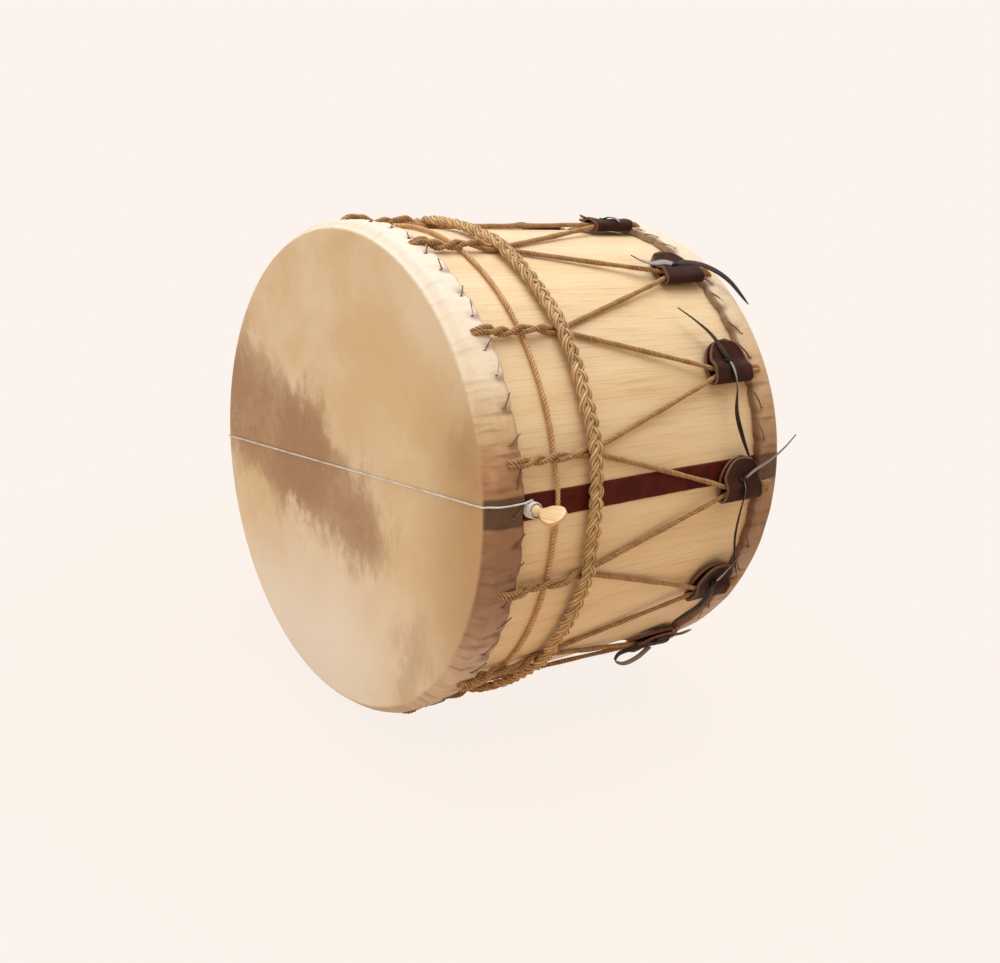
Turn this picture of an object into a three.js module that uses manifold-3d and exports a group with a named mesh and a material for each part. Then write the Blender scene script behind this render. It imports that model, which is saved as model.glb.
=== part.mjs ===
// A rope-tensioned field drum lying on its side, in millimetres, +Z up.
// The drum's axis is Y. The origin is the centre of the rear head's outer face, the front head faces -Y,
// and +X is the side of the seam strap and the snare peg.
// Angles run round the axis from +Z towards +X, as a lathe's do.
// They are counted before the drum is rolled onto its lowest two tugs.
import * as THREE from "three";
import { mergeVertices } from "three/addons/utils/BufferGeometryUtils.js";
import Module from "manifold-3d";

const wasm = await Module();
wasm.setup();

// Driving dimensions
const clearance = 0.3; // between pieces that touch on the real drum
const shellRadius = 200;
const shellWall = 7;
const bearingEdgeRound = 3.5;
const headToHead = 328; // over the two skins
const skin = 1.2;
const roundSegments = 52; // four for each tie

const fleshHoopThickness = 5;
const fleshHoopWidth = 10.2;
const fleshHoopSetback = 20.8; // from the head's face
const collarFlareEnd = 12; // where the skin has risen to the height of the flesh hoop

const innerHoopThickness = 6;
const innerHoopWidth = 24;

const tieCount = 13;
const firstTieAngle = 24.9; // degrees
const lowestTie = 6; // the drum lies with this tie at the bottom, on the tug at each side of it
const ropeDiameter = 4.5;
const ropeSides = 5;
const bightHalfWidth = 4.5;
const bightSlope = 50; // degrees, the dive of a bight under the skin
const bightSetback = 15; // from the head's face to the front of a bight
const pairHalfGap = 2.9; // from the middle of a twisted pair to each strand
const pairTurns = 1;
const pairSteps = 6;

const beltCordDiameter = 4.2;
const beltCordSetback = 67;
const plaitSetback = 104;
const plaitWidth = 12;
const plaitHeight = 6.2;

const strapWidth = 20;
const strapThickness = 1.2;
const strapAngle = 90;

const tugLeather = 2.2;
const tugLength = 48;
const tugRearSetback = 33.5; // from the rear face to the tug's rear edge
const tugFoldSide = 8.6; // from the middle of the ropes to the start of the fold
const tugLaceSide = 6.9; // from the middle of the ropes to where the outer flap turns down
const tugFlapRun = 1.6; // how far the outer flap travels while it comes down
const tugTongue = 30; // from the middle of the ropes to the tip of the flaps
const tugFlapGap = 0.4;
const legSpreadInTug = 3;
const legSettle = 4; // how far inside the tug the two legs come together

const thongWidth = 3;
const thongThickness = 1;
const laceOffset = 11.5; // from the middle of the ropes to the slit
const knotSize = new THREE.Vector3(6.4, 9, 5.2);
const knotShift = 2.8; // from the slit towards the tips of the flaps
const pressedKnotHeight = 1.4; // of the knot that the drum lies on
const tailWidth = 4;
const tailTipWidth = 2;

const gutDiameter = 1.3;
const snareHeight = 5.9; // the snare's line lies this far above the drum's axis
const pegSetback = 39;
const pegShankRadius = 4.5;
const pegTailRadius = 3.4;
const pegTailLength = 14; // inside the shell
const windingTurns = 5;
const windingPitch = 1.8;
const windingStart = 3.2; // above the shell
const pegNeckRadius = 2.9;
const pegNeckLength = 3;
const pegHeadLength = 28;
const pegHeadWidth = 16;
const pegHeadThickness = 7;
const pegHeadTurn = 35; // degrees about the peg
const anchorHoleRadius = 1.2;
const snareKnotRadius = 2.6;

// Two tails for each lace: direction in degrees from the rear towards growing angles, length and rise.
const laceTails = [
  [[-160, 55, 9], [20, 48, 3]],
  [[178, 48, 9], [46, 60, 9]],
  [[-125, 56, 10], [80, 66, 10]],
  [[-28, 52, 10], [78, 66, 12]],
  [[-75, 26, 5], [104, 58, 9]],
  [[-12, 40, 2], [-168, 50, 4]],
  [[-4, 36, 1], [-176, 48, 4]],
  [[-6, 34, 0], [-172, 42, 0]],
  [[-15, 44, 2], [-165, 58, 4]],
  [[80, 62, 9], [-120, 52, 8]],
  [[-60, 38, 8], [95, 62, 10]],
  [[-140, 58, 10], [40, 46, 7]],
  [[-30, 46, 8], [150, 56, 8]],
];

// Sizes that follow
const ropeRadius = ropeDiameter / 2;
const gutRadius = gutDiameter / 2;
const beltCordRadius = beltCordDiameter / 2;
const tiePitch = 360 / tieCount;
const restRoll = 180 - (firstTieAngle + lowestTie * tiePitch);
const shellInnerRadius = shellRadius - shellWall;
const shellFront = skin + clearance;
const edgeCentreRadius = shellRadius - bearingEdgeRound;
const edgeCentreSetback = shellFront + bearingEdgeRound;
const skinInnerRound = bearingEdgeRound + clearance;
const skinOuterRound = skinInnerRound + skin;
const fleshHoopInner = shellRadius + clearance;
const fleshHoopOuter = fleshHoopInner + fleshHoopThickness;
const fleshHoopBack = fleshHoopSetback + fleshHoopWidth;
const collarInner = fleshHoopOuter + clearance;
const collarOuter = collarInner + skin;
const collarBack = fleshHoopBack + clearance + skin;
const ropeOnShell = shellRadius + clearance + ropeRadius;
const ropeOverCollar = collarOuter + clearance + ropeRadius;
const strapInner = shellRadius + clearance;
const strapOuter = strapInner + strapThickness;
const beltCordOnShell = shellRadius + clearance + beltCordRadius;
const pairOverCord = beltCordOnShell + beltCordRadius + clearance + ropeRadius;
const pairClearOfShell = ropeOnShell + pairHalfGap + clearance;
const plaitRadius = ropeOnShell + ropeRadius + clearance + plaitHeight / 2;
const legStart = plaitSetback + plaitWidth / 2 + clearance;
const legEnd = headToHead - collarBack;
const legRise = (ropeOverCollar - ropeOnShell) / (legEnd - legStart);
const legTilt = Math.atan(legRise);
const tugRear = headToHead - tugRearSetback;
const tugFront = tugRear - tugLength;
const tugMiddle = (tugFront + tugRear) / 2;
const tugChannelHeight = ropeDiameter + 2 * clearance;
const windingRadius = pegShankRadius + clearance + gutRadius;

const radians = THREE.MathUtils.degToRad;

function material(color, roughness, metalness = 0) {
  return new THREE.MeshStandardMaterial({ color, roughness, metalness });
}

const ashWood = material(0xd9c3a0, 0.55);
const hoopWood = material(0xb08a5c, 0.6);
const calfSkin = material(0xd2b795, 0.5);
const juteRope = material(0x9c7a4e, 0.9);
const beltCordFibre = material(0xa58a62, 0.9);
const burgundyLeather = material(0x5c1f22, 0.5);
const brownLeather = material(0x3d2418, 0.55);
const thongLeather = material(0x4a3526, 0.6);
const gut = material(0xe4dccb, 0.4);
const boxwood = material(0xd8b46c, 0.45);

// Solids: booleans between closed geometries
function solidOf(geometry) {
  const bare = geometry.clone();
  bare.deleteAttribute("normal");
  bare.deleteAttribute("uv");
  const merged = mergeVertices(bare, 1e-4);
  return new wasm.Manifold(
    new wasm.Mesh({
      numProp: 3,
      vertProperties: merged.attributes.position.array,
      triVerts: new Uint32Array(merged.index.array),
    }),
  );
}

function geometryOf(solid) {
  const mesh = solid.getMesh();
  const geometry = new THREE.BufferGeometry();
  geometry.setAttribute("position", new THREE.BufferAttribute(mesh.vertProperties, 3));
  geometry.setIndex(new THREE.BufferAttribute(mesh.triVerts, 1));
  geometry.computeVertexNormals();
  return geometry;
}

function cut(geometry, cutters) {
  const tools = wasm.Manifold.union(cutters.map(solidOf));
  return geometryOf(solidOf(geometry).subtract(tools));
}

function join(geometries) {
  return geometryOf(wasm.Manifold.union(geometries.map(solidOf)));
}

// A point of the drum from its angle in degrees, setback from the front face and radius
function onDrum(angle, setback, radius) {
  const turn = radians(angle);
  return new THREE.Vector3(radius * Math.sin(turn), setback, radius * Math.cos(turn));
}

function degreesOf(arc, radius) {
  return THREE.MathUtils.radToDeg(arc / radius);
}

// A profile of [radius, setback] pairs, turned round the drum's axis with a corner at each tie
function turned(profile) {
  const points = profile.map(([radius, setback]) => new THREE.Vector2(radius, setback));
  return new THREE.LatheGeometry(points, roundSegments, radians(firstTieAngle));
}

function mirroredToRear(profile) {
  return profile.map(([radius, setback]) => [radius, headToHead - setback]).reverse();
}

// A quarter round from the face (towards -Y) to the side, about the bearing edge's centre
function edgeArc(round, steps) {
  const arc = [];
  for (let i = 0; i <= steps; i += 1) {
    const turn = (i / steps) * (Math.PI / 2);
    const radius = edgeCentreRadius + round * Math.sin(turn);
    arc.push([radius, edgeCentreSetback - round * Math.cos(turn)]);
  }
  return arc;
}

// A ring or tube of round or oval section through the stations of a path.
// Each station has its point, the direction that faces outwards there and its two half sizes.
function swept(stations, sides, closed) {
  const count = stations.length;
  const positions = [];
  const index = [];
  stations.forEach((station, i) => {
    const before = stations[closed ? (i + count - 1) % count : Math.max(i - 1, 0)];
    const after = stations[closed ? (i + 1) % count : Math.min(i + 1, count - 1)];
    const along = after.point.clone().sub(before.point).normalize();
    const high = station.out.clone().addScaledVector(along, -station.out.dot(along)).normalize();
    const wide = high.clone().cross(along);
    for (let side = 0; side < sides; side += 1) {
      const turn = ((side + 0.5) / sides) * 2 * Math.PI;
      const corner = station.point
        .clone()
        .addScaledVector(wide, station.halfWidth * Math.cos(turn))
        .addScaledVector(high, station.halfHeight * Math.sin(turn));
      positions.push(corner.x, corner.y, corner.z);
    }
  });
  const rings = closed ? count : count - 1;
  for (let i = 0; i < rings; i += 1) {
    const next = (i + 1) % count;
    for (let side = 0; side < sides; side += 1) {
      const other = (side + 1) % sides;
      const a = i * sides + side;
      const b = i * sides + other;
      const c = next * sides + other;
      const d = next * sides + side;
      index.push(a, b, c, a, c, d);
    }
  }
  if (!closed) {
    const last = (count - 1) * sides;
    for (let side = 1; side < sides - 1; side += 1) {
      index.push(0, side + 1, side);
      index.push(last, last + side, last + side + 1);
    }
  }
  const geometry = new THREE.BufferGeometry();
  geometry.setAttribute("position", new THREE.Float32BufferAttribute(positions, 3));
  geometry.setIndex(index);
  geometry.computeVertexNormals();
  return geometry;
}

// A station of a rope or a ring on the drum
function drumStation(angle, setback, radius, halfWidth, halfHeight) {
  return { point: onDrum(angle, setback, radius), out: onDrum(angle, 0, 1), halfWidth, halfHeight };
}

function ropeStation(angle, setback, radius, half = ropeRadius) {
  return drumStation(angle, setback, radius, half, half);
}

// A cylinder whose axis is the drum's radius at an angle
function radialRod(angle, setback, radius, innerEnd, outerEnd, sides) {
  const rod = new THREE.CylinderGeometry(radius, radius, outerEnd - innerEnd, sides);
  rod.rotateX(Math.PI / 2);
  rod.translate(0, setback, (innerEnd + outerEnd) / 2);
  rod.rotateY(radians(angle));
  return rod;
}

const drum = new THREE.Group();
drum.position.y = -headToHead;
drum.rotation.y = radians(restRoll);

function add(name, geometry, finish, parent = drum) {
  const mesh = new THREE.Mesh(geometry, finish);
  mesh.name = name;
  parent.add(mesh);
  return mesh;
}

// Shell: a bent ash cylinder with rounded bearing edges, drilled for the peg and for the snare's far end
const drillStart = shellInnerRadius - shellWall;
const pegHole = radialRod(strapAngle, pegSetback, pegShankRadius + clearance, drillStart, collarOuter, 16);
const snareAngle = strapAngle - degreesOf(snareHeight, shellRadius);
const anchorAngle = -snareAngle;
const anchorHole = radialRod(anchorAngle, pegSetback, anchorHoleRadius, drillStart, collarOuter, 8);
const shellFrontProfile = [...edgeArc(bearingEdgeRound, 2)];
const shellProfile = [
  [shellInnerRadius, shellFront],
  ...shellFrontProfile,
  ...mirroredToRear(shellFrontProfile),
  [shellInnerRadius, headToHead - shellFront],
  [shellInnerRadius, shellFront],
];
add("shell", cut(turned(shellProfile), [pegHole, anchorHole]), ashWood);

// Reinforcing hoops glued inside both ends of the shell
const innerHoopOuter = shellInnerRadius - clearance;
const innerHoopInner = innerHoopOuter - innerHoopThickness;
const innerHoopProfile = [
  [innerHoopInner, shellFront],
  [innerHoopOuter, shellFront],
  [innerHoopOuter, shellFront + innerHoopWidth],
  [innerHoopInner, shellFront + innerHoopWidth],
  [innerHoopInner, shellFront],
];
add("front_inner_hoop", turned(innerHoopProfile), hoopWood);
add("rear_inner_hoop", turned(mirroredToRear(innerHoopProfile)), hoopWood);

// Flesh hoops, which the skins are lapped over
const fleshHoopProfile = [
  [fleshHoopInner, fleshHoopSetback],
  [fleshHoopOuter, fleshHoopSetback],
  [fleshHoopOuter, fleshHoopBack],
  [fleshHoopInner, fleshHoopBack],
  [fleshHoopInner, fleshHoopSetback],
];
add("front_flesh_hoop", turned(fleshHoopProfile), hoopWood);
add("rear_flesh_hoop", turned(mirroredToRear(fleshHoopProfile)), hoopWood);

// One bight of the rope: it dives through the collar in front of the hoop and comes out beside itself.
// The path is given from the side of smaller angles, and a rear bight is turned end for end.
const bightApexRadius = ropeOnShell;
function bight(angle, atRear, half) {
  const dive = radians(bightSlope);
  const stations = [];
  const place = (across, setback, radius) => {
    const fromFront = atRear ? headToHead - setback : setback;
    stations.push(ropeStation(angle + degreesOf(across, radius), fromFront, radius, half));
  };
  const centreSetback = bightSetback + bightHalfWidth * Math.cos(dive);
  const centreRadius = bightApexRadius + bightHalfWidth * Math.sin(dive);
  const topSetback = centreSetback + (ropeOverCollar - centreRadius) / Math.tan(dive);
  place(-bightHalfWidth, topSetback + ropeRadius, ropeOverCollar);
  for (let i = 0; i <= 4; i += 1) {
    const turn = (i / 4) * Math.PI;
    const depth = bightHalfWidth * Math.sin(turn);
    const across = -bightHalfWidth * Math.cos(turn);
    place(across, centreSetback - depth * Math.cos(dive), centreRadius - depth * Math.sin(dive));
  }
  place(bightHalfWidth, topSetback + ropeRadius, ropeOverCollar);
  return stations;
}

// Heads: calf skin over the bearing edge, flared out to the flesh hoop and lapped over its back
const outerFace = edgeArc(skinOuterRound, 3);
const innerFace = edgeArc(skinInnerRound, 2).reverse();
const headProfile = [
  [0, 0],
  ...outerFace,
  [collarOuter, collarFlareEnd],
  [collarOuter, collarBack - skin],
  [collarInner, collarBack],
  [fleshHoopInner, collarBack],
  [fleshHoopInner, fleshHoopBack + clearance],
  [collarInner, fleshHoopBack + clearance],
  [collarInner, collarFlareEnd],
  ...innerFace,
  [0, skin],
];
const holeSides = 4;
const bightHalfCut = (ropeRadius + 2 * clearance) / Math.cos(Math.PI / holeSides);
function headWithHoles(profile, atRear) {
  const holes = [];
  for (let i = 0; i < tieCount; i += 1) {
    const angle = firstTieAngle + (i + (atRear ? 0.5 : 0)) * tiePitch;
    holes.push(swept(bight(angle, atRear, bightHalfCut), holeSides, false));
  }
  return cut(turned(profile), holes);
}
add("front_head", headWithHoles(headProfile, false), calfSkin);
add("rear_head", headWithHoles(mirroredToRear(headProfile), true), calfSkin);

// Tension rope: one unbroken line that zigzags between the heads.
// At a tie its two strands are twisted together.
// They part under the plaited ring and each meets the next tie's strand in a tug.
const pairAxis = new THREE.CatmullRomCurve3(
  [
    new THREE.Vector3(0, collarBack + clearance, ropeOverCollar),
    new THREE.Vector3(0, (collarBack * 2 + beltCordSetback) / 3, pairClearOfShell + clearance),
    new THREE.Vector3(0, (collarBack + beltCordSetback * 2) / 3, pairClearOfShell),
    new THREE.Vector3(0, beltCordSetback, pairOverCord),
  ],
  false,
);
function pairStations(angle, phase) {
  const stations = [];
  for (let i = 0; i <= pairSteps; i += 1) {
    const share = i / pairSteps;
    const axis = pairAxis.getPoint(share);
    const turn = phase + share * pairTurns * 2 * Math.PI;
    const radius = axis.z + pairHalfGap * Math.sin(turn);
    stations.push(ropeStation(angle + degreesOf(pairHalfGap * Math.cos(turn), radius), axis.y, radius));
  }
  const side = Math.cos(phase) * pairHalfGap;
  const settle = (plaitSetback - beltCordSetback) / 3;
  const settled = [
    [beltCordSetback + settle, (pairOverCord + ropeOnShell * 2) / 3],
    [plaitSetback - plaitWidth / 2, ropeOnShell],
    [legStart, ropeOnShell],
  ];
  settled.forEach(([setback, radius]) => {
    stations.push(ropeStation(angle + degreesOf(side, radius), setback, radius));
  });
  return stations;
}

function legRadius(setback) {
  return ropeOnShell + (setback - legStart) * legRise;
}

// A leg from beside a tie (side +1 goes to growing angles) to its strand in the tug
function legStations(tieAngle, side) {
  const tugAngle = tieAngle + (side * tiePitch) / 2;
  const startAngle = tieAngle + side * degreesOf(pairHalfGap, ropeOnShell);
  const settleSetback = tugFront + legSettle;
  const endAngle = tugAngle - side * degreesOf(legSpreadInTug, legRadius(settleSetback));
  const stations = [];
  [1 / 3, 2 / 3, 1].forEach((share) => {
    const setback = THREE.MathUtils.lerp(legStart, settleSetback, share);
    const angle = THREE.MathUtils.lerp(startAngle, endAngle, share);
    stations.push(ropeStation(angle, setback, legRadius(setback)));
  });
  return stations;
}

const ropeStations = [];
for (let i = 0; i < tieCount; i += 1) {
  const tieAngle = firstTieAngle + i * tiePitch;
  ropeStations.push(...legStations(tieAngle, -1).reverse());
  ropeStations.push(...pairStations(tieAngle, Math.PI).reverse());
  ropeStations.push(...bight(tieAngle, false, ropeRadius));
  ropeStations.push(...pairStations(tieAngle, 0));
  ropeStations.push(...legStations(tieAngle, 1));
  ropeStations.push(...bight(tieAngle + tiePitch / 2, true, ropeRadius));
}
add("tension_rope", swept(ropeStations, ropeSides, true), juteRope);

// Belt cord: a thin ring round the shell under the twisted pairs, lifted where it crosses the seam strap
const strapHalfAngle = degreesOf(strapWidth / 2, shellRadius);
const strapEase = 4; // degrees over which a ring climbs onto the strap
function overStrap(angle) {
  const away = Math.abs(angle - strapAngle) - strapHalfAngle - 1;
  return 1 - THREE.MathUtils.smoothstep(away, 0, strapEase);
}
const cordStations = [];
for (let i = 0; i < roundSegments; i += 1) {
  const angle = firstTieAngle + (i / roundSegments) * 360;
  const radius = beltCordOnShell + (strapThickness + 2 * clearance) * overStrap(angle);
  cordStations.push(ropeStation(angle, beltCordSetback, radius, beltCordRadius));
}
add("belt_cord", swept(cordStations, 6, true), beltCordFibre);

// Plaited ring that gathers the strands
const plaitStations = [];
for (let i = 0; i < roundSegments; i += 1) {
  const angle = firstTieAngle + (i / roundSegments) * 360;
  plaitStations.push(drumStation(angle, plaitSetback, plaitRadius, plaitWidth / 2, plaitHeight / 2));
}
add("plaited_ring", swept(plaitStations, 8, true), juteRope);

// Seam strap: a leather band over the shell's seam, from collar to collar, pierced by the peg
const strapShape = new THREE.Shape();
const strapFrom = Math.PI / 2 - radians(strapHalfAngle);
const strapTo = Math.PI / 2 + radians(strapHalfAngle);
strapShape.absarc(0, 0, strapOuter, strapFrom, strapTo, false);
strapShape.absarc(0, 0, strapInner, strapTo, strapFrom, true);
const strapSetback = collarBack + clearance;
const strapBlank = new THREE.ExtrudeGeometry(strapShape, {
  depth: headToHead - 2 * strapSetback,
  bevelEnabled: false,
  curveSegments: 4,
});
strapBlank.rotateX(Math.PI / 2);
strapBlank.translate(0, headToHead - strapSetback, 0);
strapBlank.rotateY(radians(strapAngle));
add("seam_strap", cut(strapBlank, [pegHole]), burgundyLeather);

// Tugs: a leather strip folded round two legs, its two flaps laced together
// A tug's own axes: X across the drum towards growing angles, Y along the ropes, Z out of the drum.
function tugSection() {
  const channelMiddle = tugLeather + tugChannelHeight / 2;
  const channelTop = tugLeather + tugChannelHeight;
  const flapBottom = tugLeather + tugFlapGap;
  const flapStart = -tugLaceSide - tugFlapRun;
  const tip = -tugTongue;
  const section = new THREE.Shape();
  section.moveTo(tip, 0);
  section.lineTo(tugFoldSide, 0);
  section.absarc(tugFoldSide, channelMiddle, channelMiddle, -Math.PI / 2, Math.PI / 2, false);
  section.lineTo(-tugLaceSide - tugLeather, channelTop + tugLeather);
  section.lineTo(flapStart - tugLeather, flapBottom + tugLeather);
  section.lineTo(tip, flapBottom + tugLeather);
  section.lineTo(tip, flapBottom);
  section.lineTo(flapStart, flapBottom);
  section.lineTo(-tugLaceSide, channelTop);
  section.lineTo(tugFoldSide, channelTop);
  section.absarc(tugFoldSide, channelMiddle, tugChannelHeight / 2, Math.PI / 2, -Math.PI / 2, true);
  section.lineTo(tip, tugLeather);
  section.closePath();
  return section;
}

function tugOutline() {
  const foldEdge = tugFoldSide + tugLeather + tugChannelHeight;
  const half = tugLength / 2;
  const outline = new THREE.Shape();
  outline.moveTo(foldEdge, -half);
  outline.lineTo(foldEdge, half);
  outline.lineTo(-tugLaceSide, half);
  const quarter = Math.PI / 2;
  outline.absellipse(-tugLaceSide, 0, tugTongue - tugLaceSide, half, quarter, 3 * quarter, false, 0);
  outline.closePath();
  return outline;
}

function laceSlit() {
  const reach = 3 * (tugLeather + tugChannelHeight);
  const slit = new THREE.BoxGeometry(thongThickness + 2 * clearance, thongWidth + 2 * clearance, reach);
  slit.translate(-laceOffset, 0, 0);
  return slit;
}

const tugBlank = new THREE.ExtrudeGeometry(tugSection(), {
  depth: tugLength,
  bevelEnabled: false,
  curveSegments: 2,
});
tugBlank.rotateX(Math.PI / 2);
tugBlank.translate(0, tugLength / 2, 0);
const tugTrim = new THREE.ExtrudeGeometry(tugOutline(), {
  depth: 4 * tugLeather + 2 * tugChannelHeight,
  bevelEnabled: false,
  curveSegments: 5,
});
tugTrim.translate(0, 0, -tugLeather);
const tugGeometry = cut(geometryOf(solidOf(tugBlank).intersect(solidOf(tugTrim))), [laceSlit()]);

// A lace: a thong through both flaps, knotted on the outer one, with two stiff tails
function laceGeometry(tails, knotHeight) {
  const flapTop = 2 * tugLeather + tugFlapGap + clearance;
  const bottom = -clearance - thongThickness;
  const pieces = [];
  const stopper = new THREE.BoxGeometry(thongWidth, 3 * thongWidth, thongThickness);
  stopper.translate(-laceOffset, 0, bottom + thongThickness / 2);
  const knotMiddle = flapTop + knotHeight / 2;
  const height = knotMiddle - bottom;
  const stem = new THREE.BoxGeometry(thongThickness, thongWidth, height);
  stem.translate(-laceOffset, 0, bottom + height / 2);
  pieces.push(stopper, stem);
  const knot = new THREE.SphereGeometry(1, 6, 4);
  knot.rotateX(Math.PI / 2);
  knot.scale(knotSize.x / 2, knotSize.y / 2, knotHeight / 2);
  const knotX = -laceOffset - knotShift;
  knot.translate(knotX, 0, knotMiddle);
  pieces.push(knot);
  tails.forEach(([direction, length, rise]) => {
    const heading = radians(direction);
    const along = new THREE.Vector3(Math.sin(heading), Math.cos(heading), 0);
    const crossesRopes = along.x > 0.2;
    const tailStart = crossesRopes ? flapTop + knotHeight : knotMiddle;
    const stations = [0, 0.33, 0.67, 1].map((share) => {
      const point = along.clone().multiplyScalar(share * length);
      point.x += knotX;
      point.z = tailStart + rise * Math.sin((share * Math.PI) / 2);
      return {
        point,
        out: new THREE.Vector3(0, 0, 1),
        halfWidth: THREE.MathUtils.lerp(tailWidth, tailTipWidth, share) / Math.SQRT2,
        halfHeight: thongThickness / Math.SQRT2,
      };
    });
    pieces.push(swept(stations, 4, false));
  });
  return join(pieces);
}

const tugBase = legRadius(tugMiddle) - ropeRadius - clearance - tugLeather;
for (let i = 0; i < tieCount; i += 1) {
  const seat = new THREE.Group();
  seat.rotation.y = radians(firstTieAngle + (i - 0.5) * tiePitch);
  const tug = new THREE.Group();
  tug.position.set(0, tugMiddle, tugBase);
  tug.rotation.x = legTilt;
  seat.add(tug);
  drum.add(seat);
  const number = String(i + 1).padStart(2, "0");
  add(`tug_${number}`, tugGeometry, brownLeather, tug);
  const knotHeight = i === lowestTie + 1 ? pressedKnotHeight : knotSize.z;
  add(`tug_lace_${number}`, laceGeometry(laceTails[i], knotHeight), thongLeather, tug);
}

// Snare peg: a turned shank in the shell with a flat thumb-piece
const windingLength = windingTurns * windingPitch;
const pegNeck = shellRadius + windingStart + windingLength + 2 * gutDiameter;
const pegHeadStart = pegNeck + pegNeckLength;
const pegShankProfile = [
  [0, shellInnerRadius - pegTailLength],
  [pegTailRadius, shellInnerRadius - pegTailLength],
  [pegShankRadius, shellRadius],
  [pegShankRadius, pegNeck - pegShankRadius / 2],
  [pegNeckRadius, pegNeck],
  [pegNeckRadius, pegHeadStart + pegHeadLength / 3],
  [0, pegHeadStart + pegHeadLength / 3],
].map(([radius, height]) => new THREE.Vector2(radius, height));
const pegShank = new THREE.LatheGeometry(pegShankProfile, 16);
const headHalf = pegHeadWidth / 2;
const thumbShape = new THREE.Shape();
thumbShape.moveTo(0, 0);
const widestAt = pegHeadLength * 0.55;
thumbShape.bezierCurveTo(headHalf * 0.6, 1, headHalf, pegHeadLength * 0.3, headHalf, widestAt);
thumbShape.bezierCurveTo(headHalf, pegHeadLength * 0.85, headHalf * 0.6, pegHeadLength, 0, pegHeadLength);
const roundAt = pegHeadLength * 0.85;
thumbShape.bezierCurveTo(-headHalf * 0.6, pegHeadLength, -headHalf, roundAt, -headHalf, widestAt);
thumbShape.bezierCurveTo(-headHalf, pegHeadLength * 0.3, -headHalf * 0.6, 1, 0, 0);
const thumbBevel = pegHeadThickness / 3;
const thumb = new THREE.ExtrudeGeometry(thumbShape, {
  depth: pegHeadThickness - 2 * thumbBevel,
  bevelThickness: thumbBevel,
  bevelSize: thumbBevel,
  bevelOffset: -thumbBevel,
  bevelSegments: 2,
  curveSegments: 4,
});
thumb.translate(0, pegHeadStart, -pegHeadThickness / 2 + thumbBevel);
thumb.rotateY(radians(pegHeadTurn));
const pegGeometry = join([pegShank, thumb]);

// The peg's own axis is Y in its profile and points along +X on the drum.
const pegSeat = new THREE.Group();
pegSeat.position.y = pegSetback;
pegSeat.rotation.z = -Math.PI / 2;
drum.add(pegSeat);
add("snare_peg", pegGeometry, boxwood, pegSeat);

// Winding: the end of the gut, coiled on the shank in one layer
const loopSteps = 12;
const windingPoints = [];
const windingBase = shellRadius + windingStart + gutRadius;
for (let i = 0; i <= windingTurns * loopSteps; i += 1) {
  const share = i / loopSteps;
  const turn = share * 2 * Math.PI;
  const x = windingRadius * Math.cos(turn);
  const z = windingRadius * Math.sin(turn);
  windingPoints.push(new THREE.Vector3(x, windingBase + share * windingPitch, z));
}
const windingStations = windingPoints.map((point) => ({
  point,
  out: new THREE.Vector3(point.x, 0, point.z).normalize(),
  halfWidth: gutRadius,
  halfHeight: gutRadius,
}));
add("snare_winding", swept(windingStations, 6, false), gut, pegSeat);

// The least gap between one turn of the winding and another
let leastGap = Infinity;
windingPoints.forEach((point, i) => {
  for (let j = i + loopSteps / 2; j < windingPoints.length; j += 1) {
    leastGap = Math.min(leastGap, point.distanceTo(windingPoints[j]) - gutDiameter);
  }
});
console.log(`snare_winding: least gap between its turns ${leastGap.toFixed(2)} mm`);

// Snare: one gut line from the peg over the rim, across the front head and over the far rim to its hole
const gutLift = clearance + gutRadius;
const snareEnd = windingBase + windingLength / 2;
function snareSide(side) {
  const over = (radius, setback) => new THREE.Vector3(side * radius, setback, snareHeight);
  const points = [over(collarOuter + gutLift, collarBack), over(collarOuter + gutLift, collarFlareEnd)];
  edgeArc(skinOuterRound + gutLift, 3)
    .reverse()
    .forEach(([radius, setback]) => points.push(over(radius, setback)));
  return points;
}
const pegTangent = snareHeight + gutDiameter + clearance;
const snareStart = new THREE.Vector3(snareEnd, pegSetback, pegTangent);
const snareOverCollar = snareSide(1);
const snareMiddle = snareStart.clone().lerp(snareOverCollar[0], 0.5);
const snarePoints = [
  snareStart,
  snareMiddle,
  ...snareOverCollar,
  ...snareSide(-1).reverse(),
];
const anchorPoint = (radius) => new THREE.Vector3(-radius, pegSetback, snareHeight);
snarePoints.push(anchorPoint(shellRadius + gutDiameter));
snarePoints.push(anchorPoint(shellInnerRadius));
const snareStations = snarePoints.map((point) => ({
  point,
  out: new THREE.Vector3(0, 0, 1),
  halfWidth: gutRadius,
  halfHeight: gutRadius,
}));
add("snare_string", swept(snareStations, 6, false), gut);

const knotGeometry = new THREE.SphereGeometry(snareKnotRadius, 8, 6);
const snareKnot = add("snare_knot", knotGeometry, gut);
snareKnot.position.set(-(shellInnerRadius - clearance - snareKnotRadius), pegSetback, snareHeight);

const part = new THREE.Group();
part.add(drum);
export default part;
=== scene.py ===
import random
from math import atan, cos, degrees, pi, radians, sin, sqrt

import bmesh
import bpy
import numpy as np
from mathutils import Matrix, Vector, noise


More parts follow.
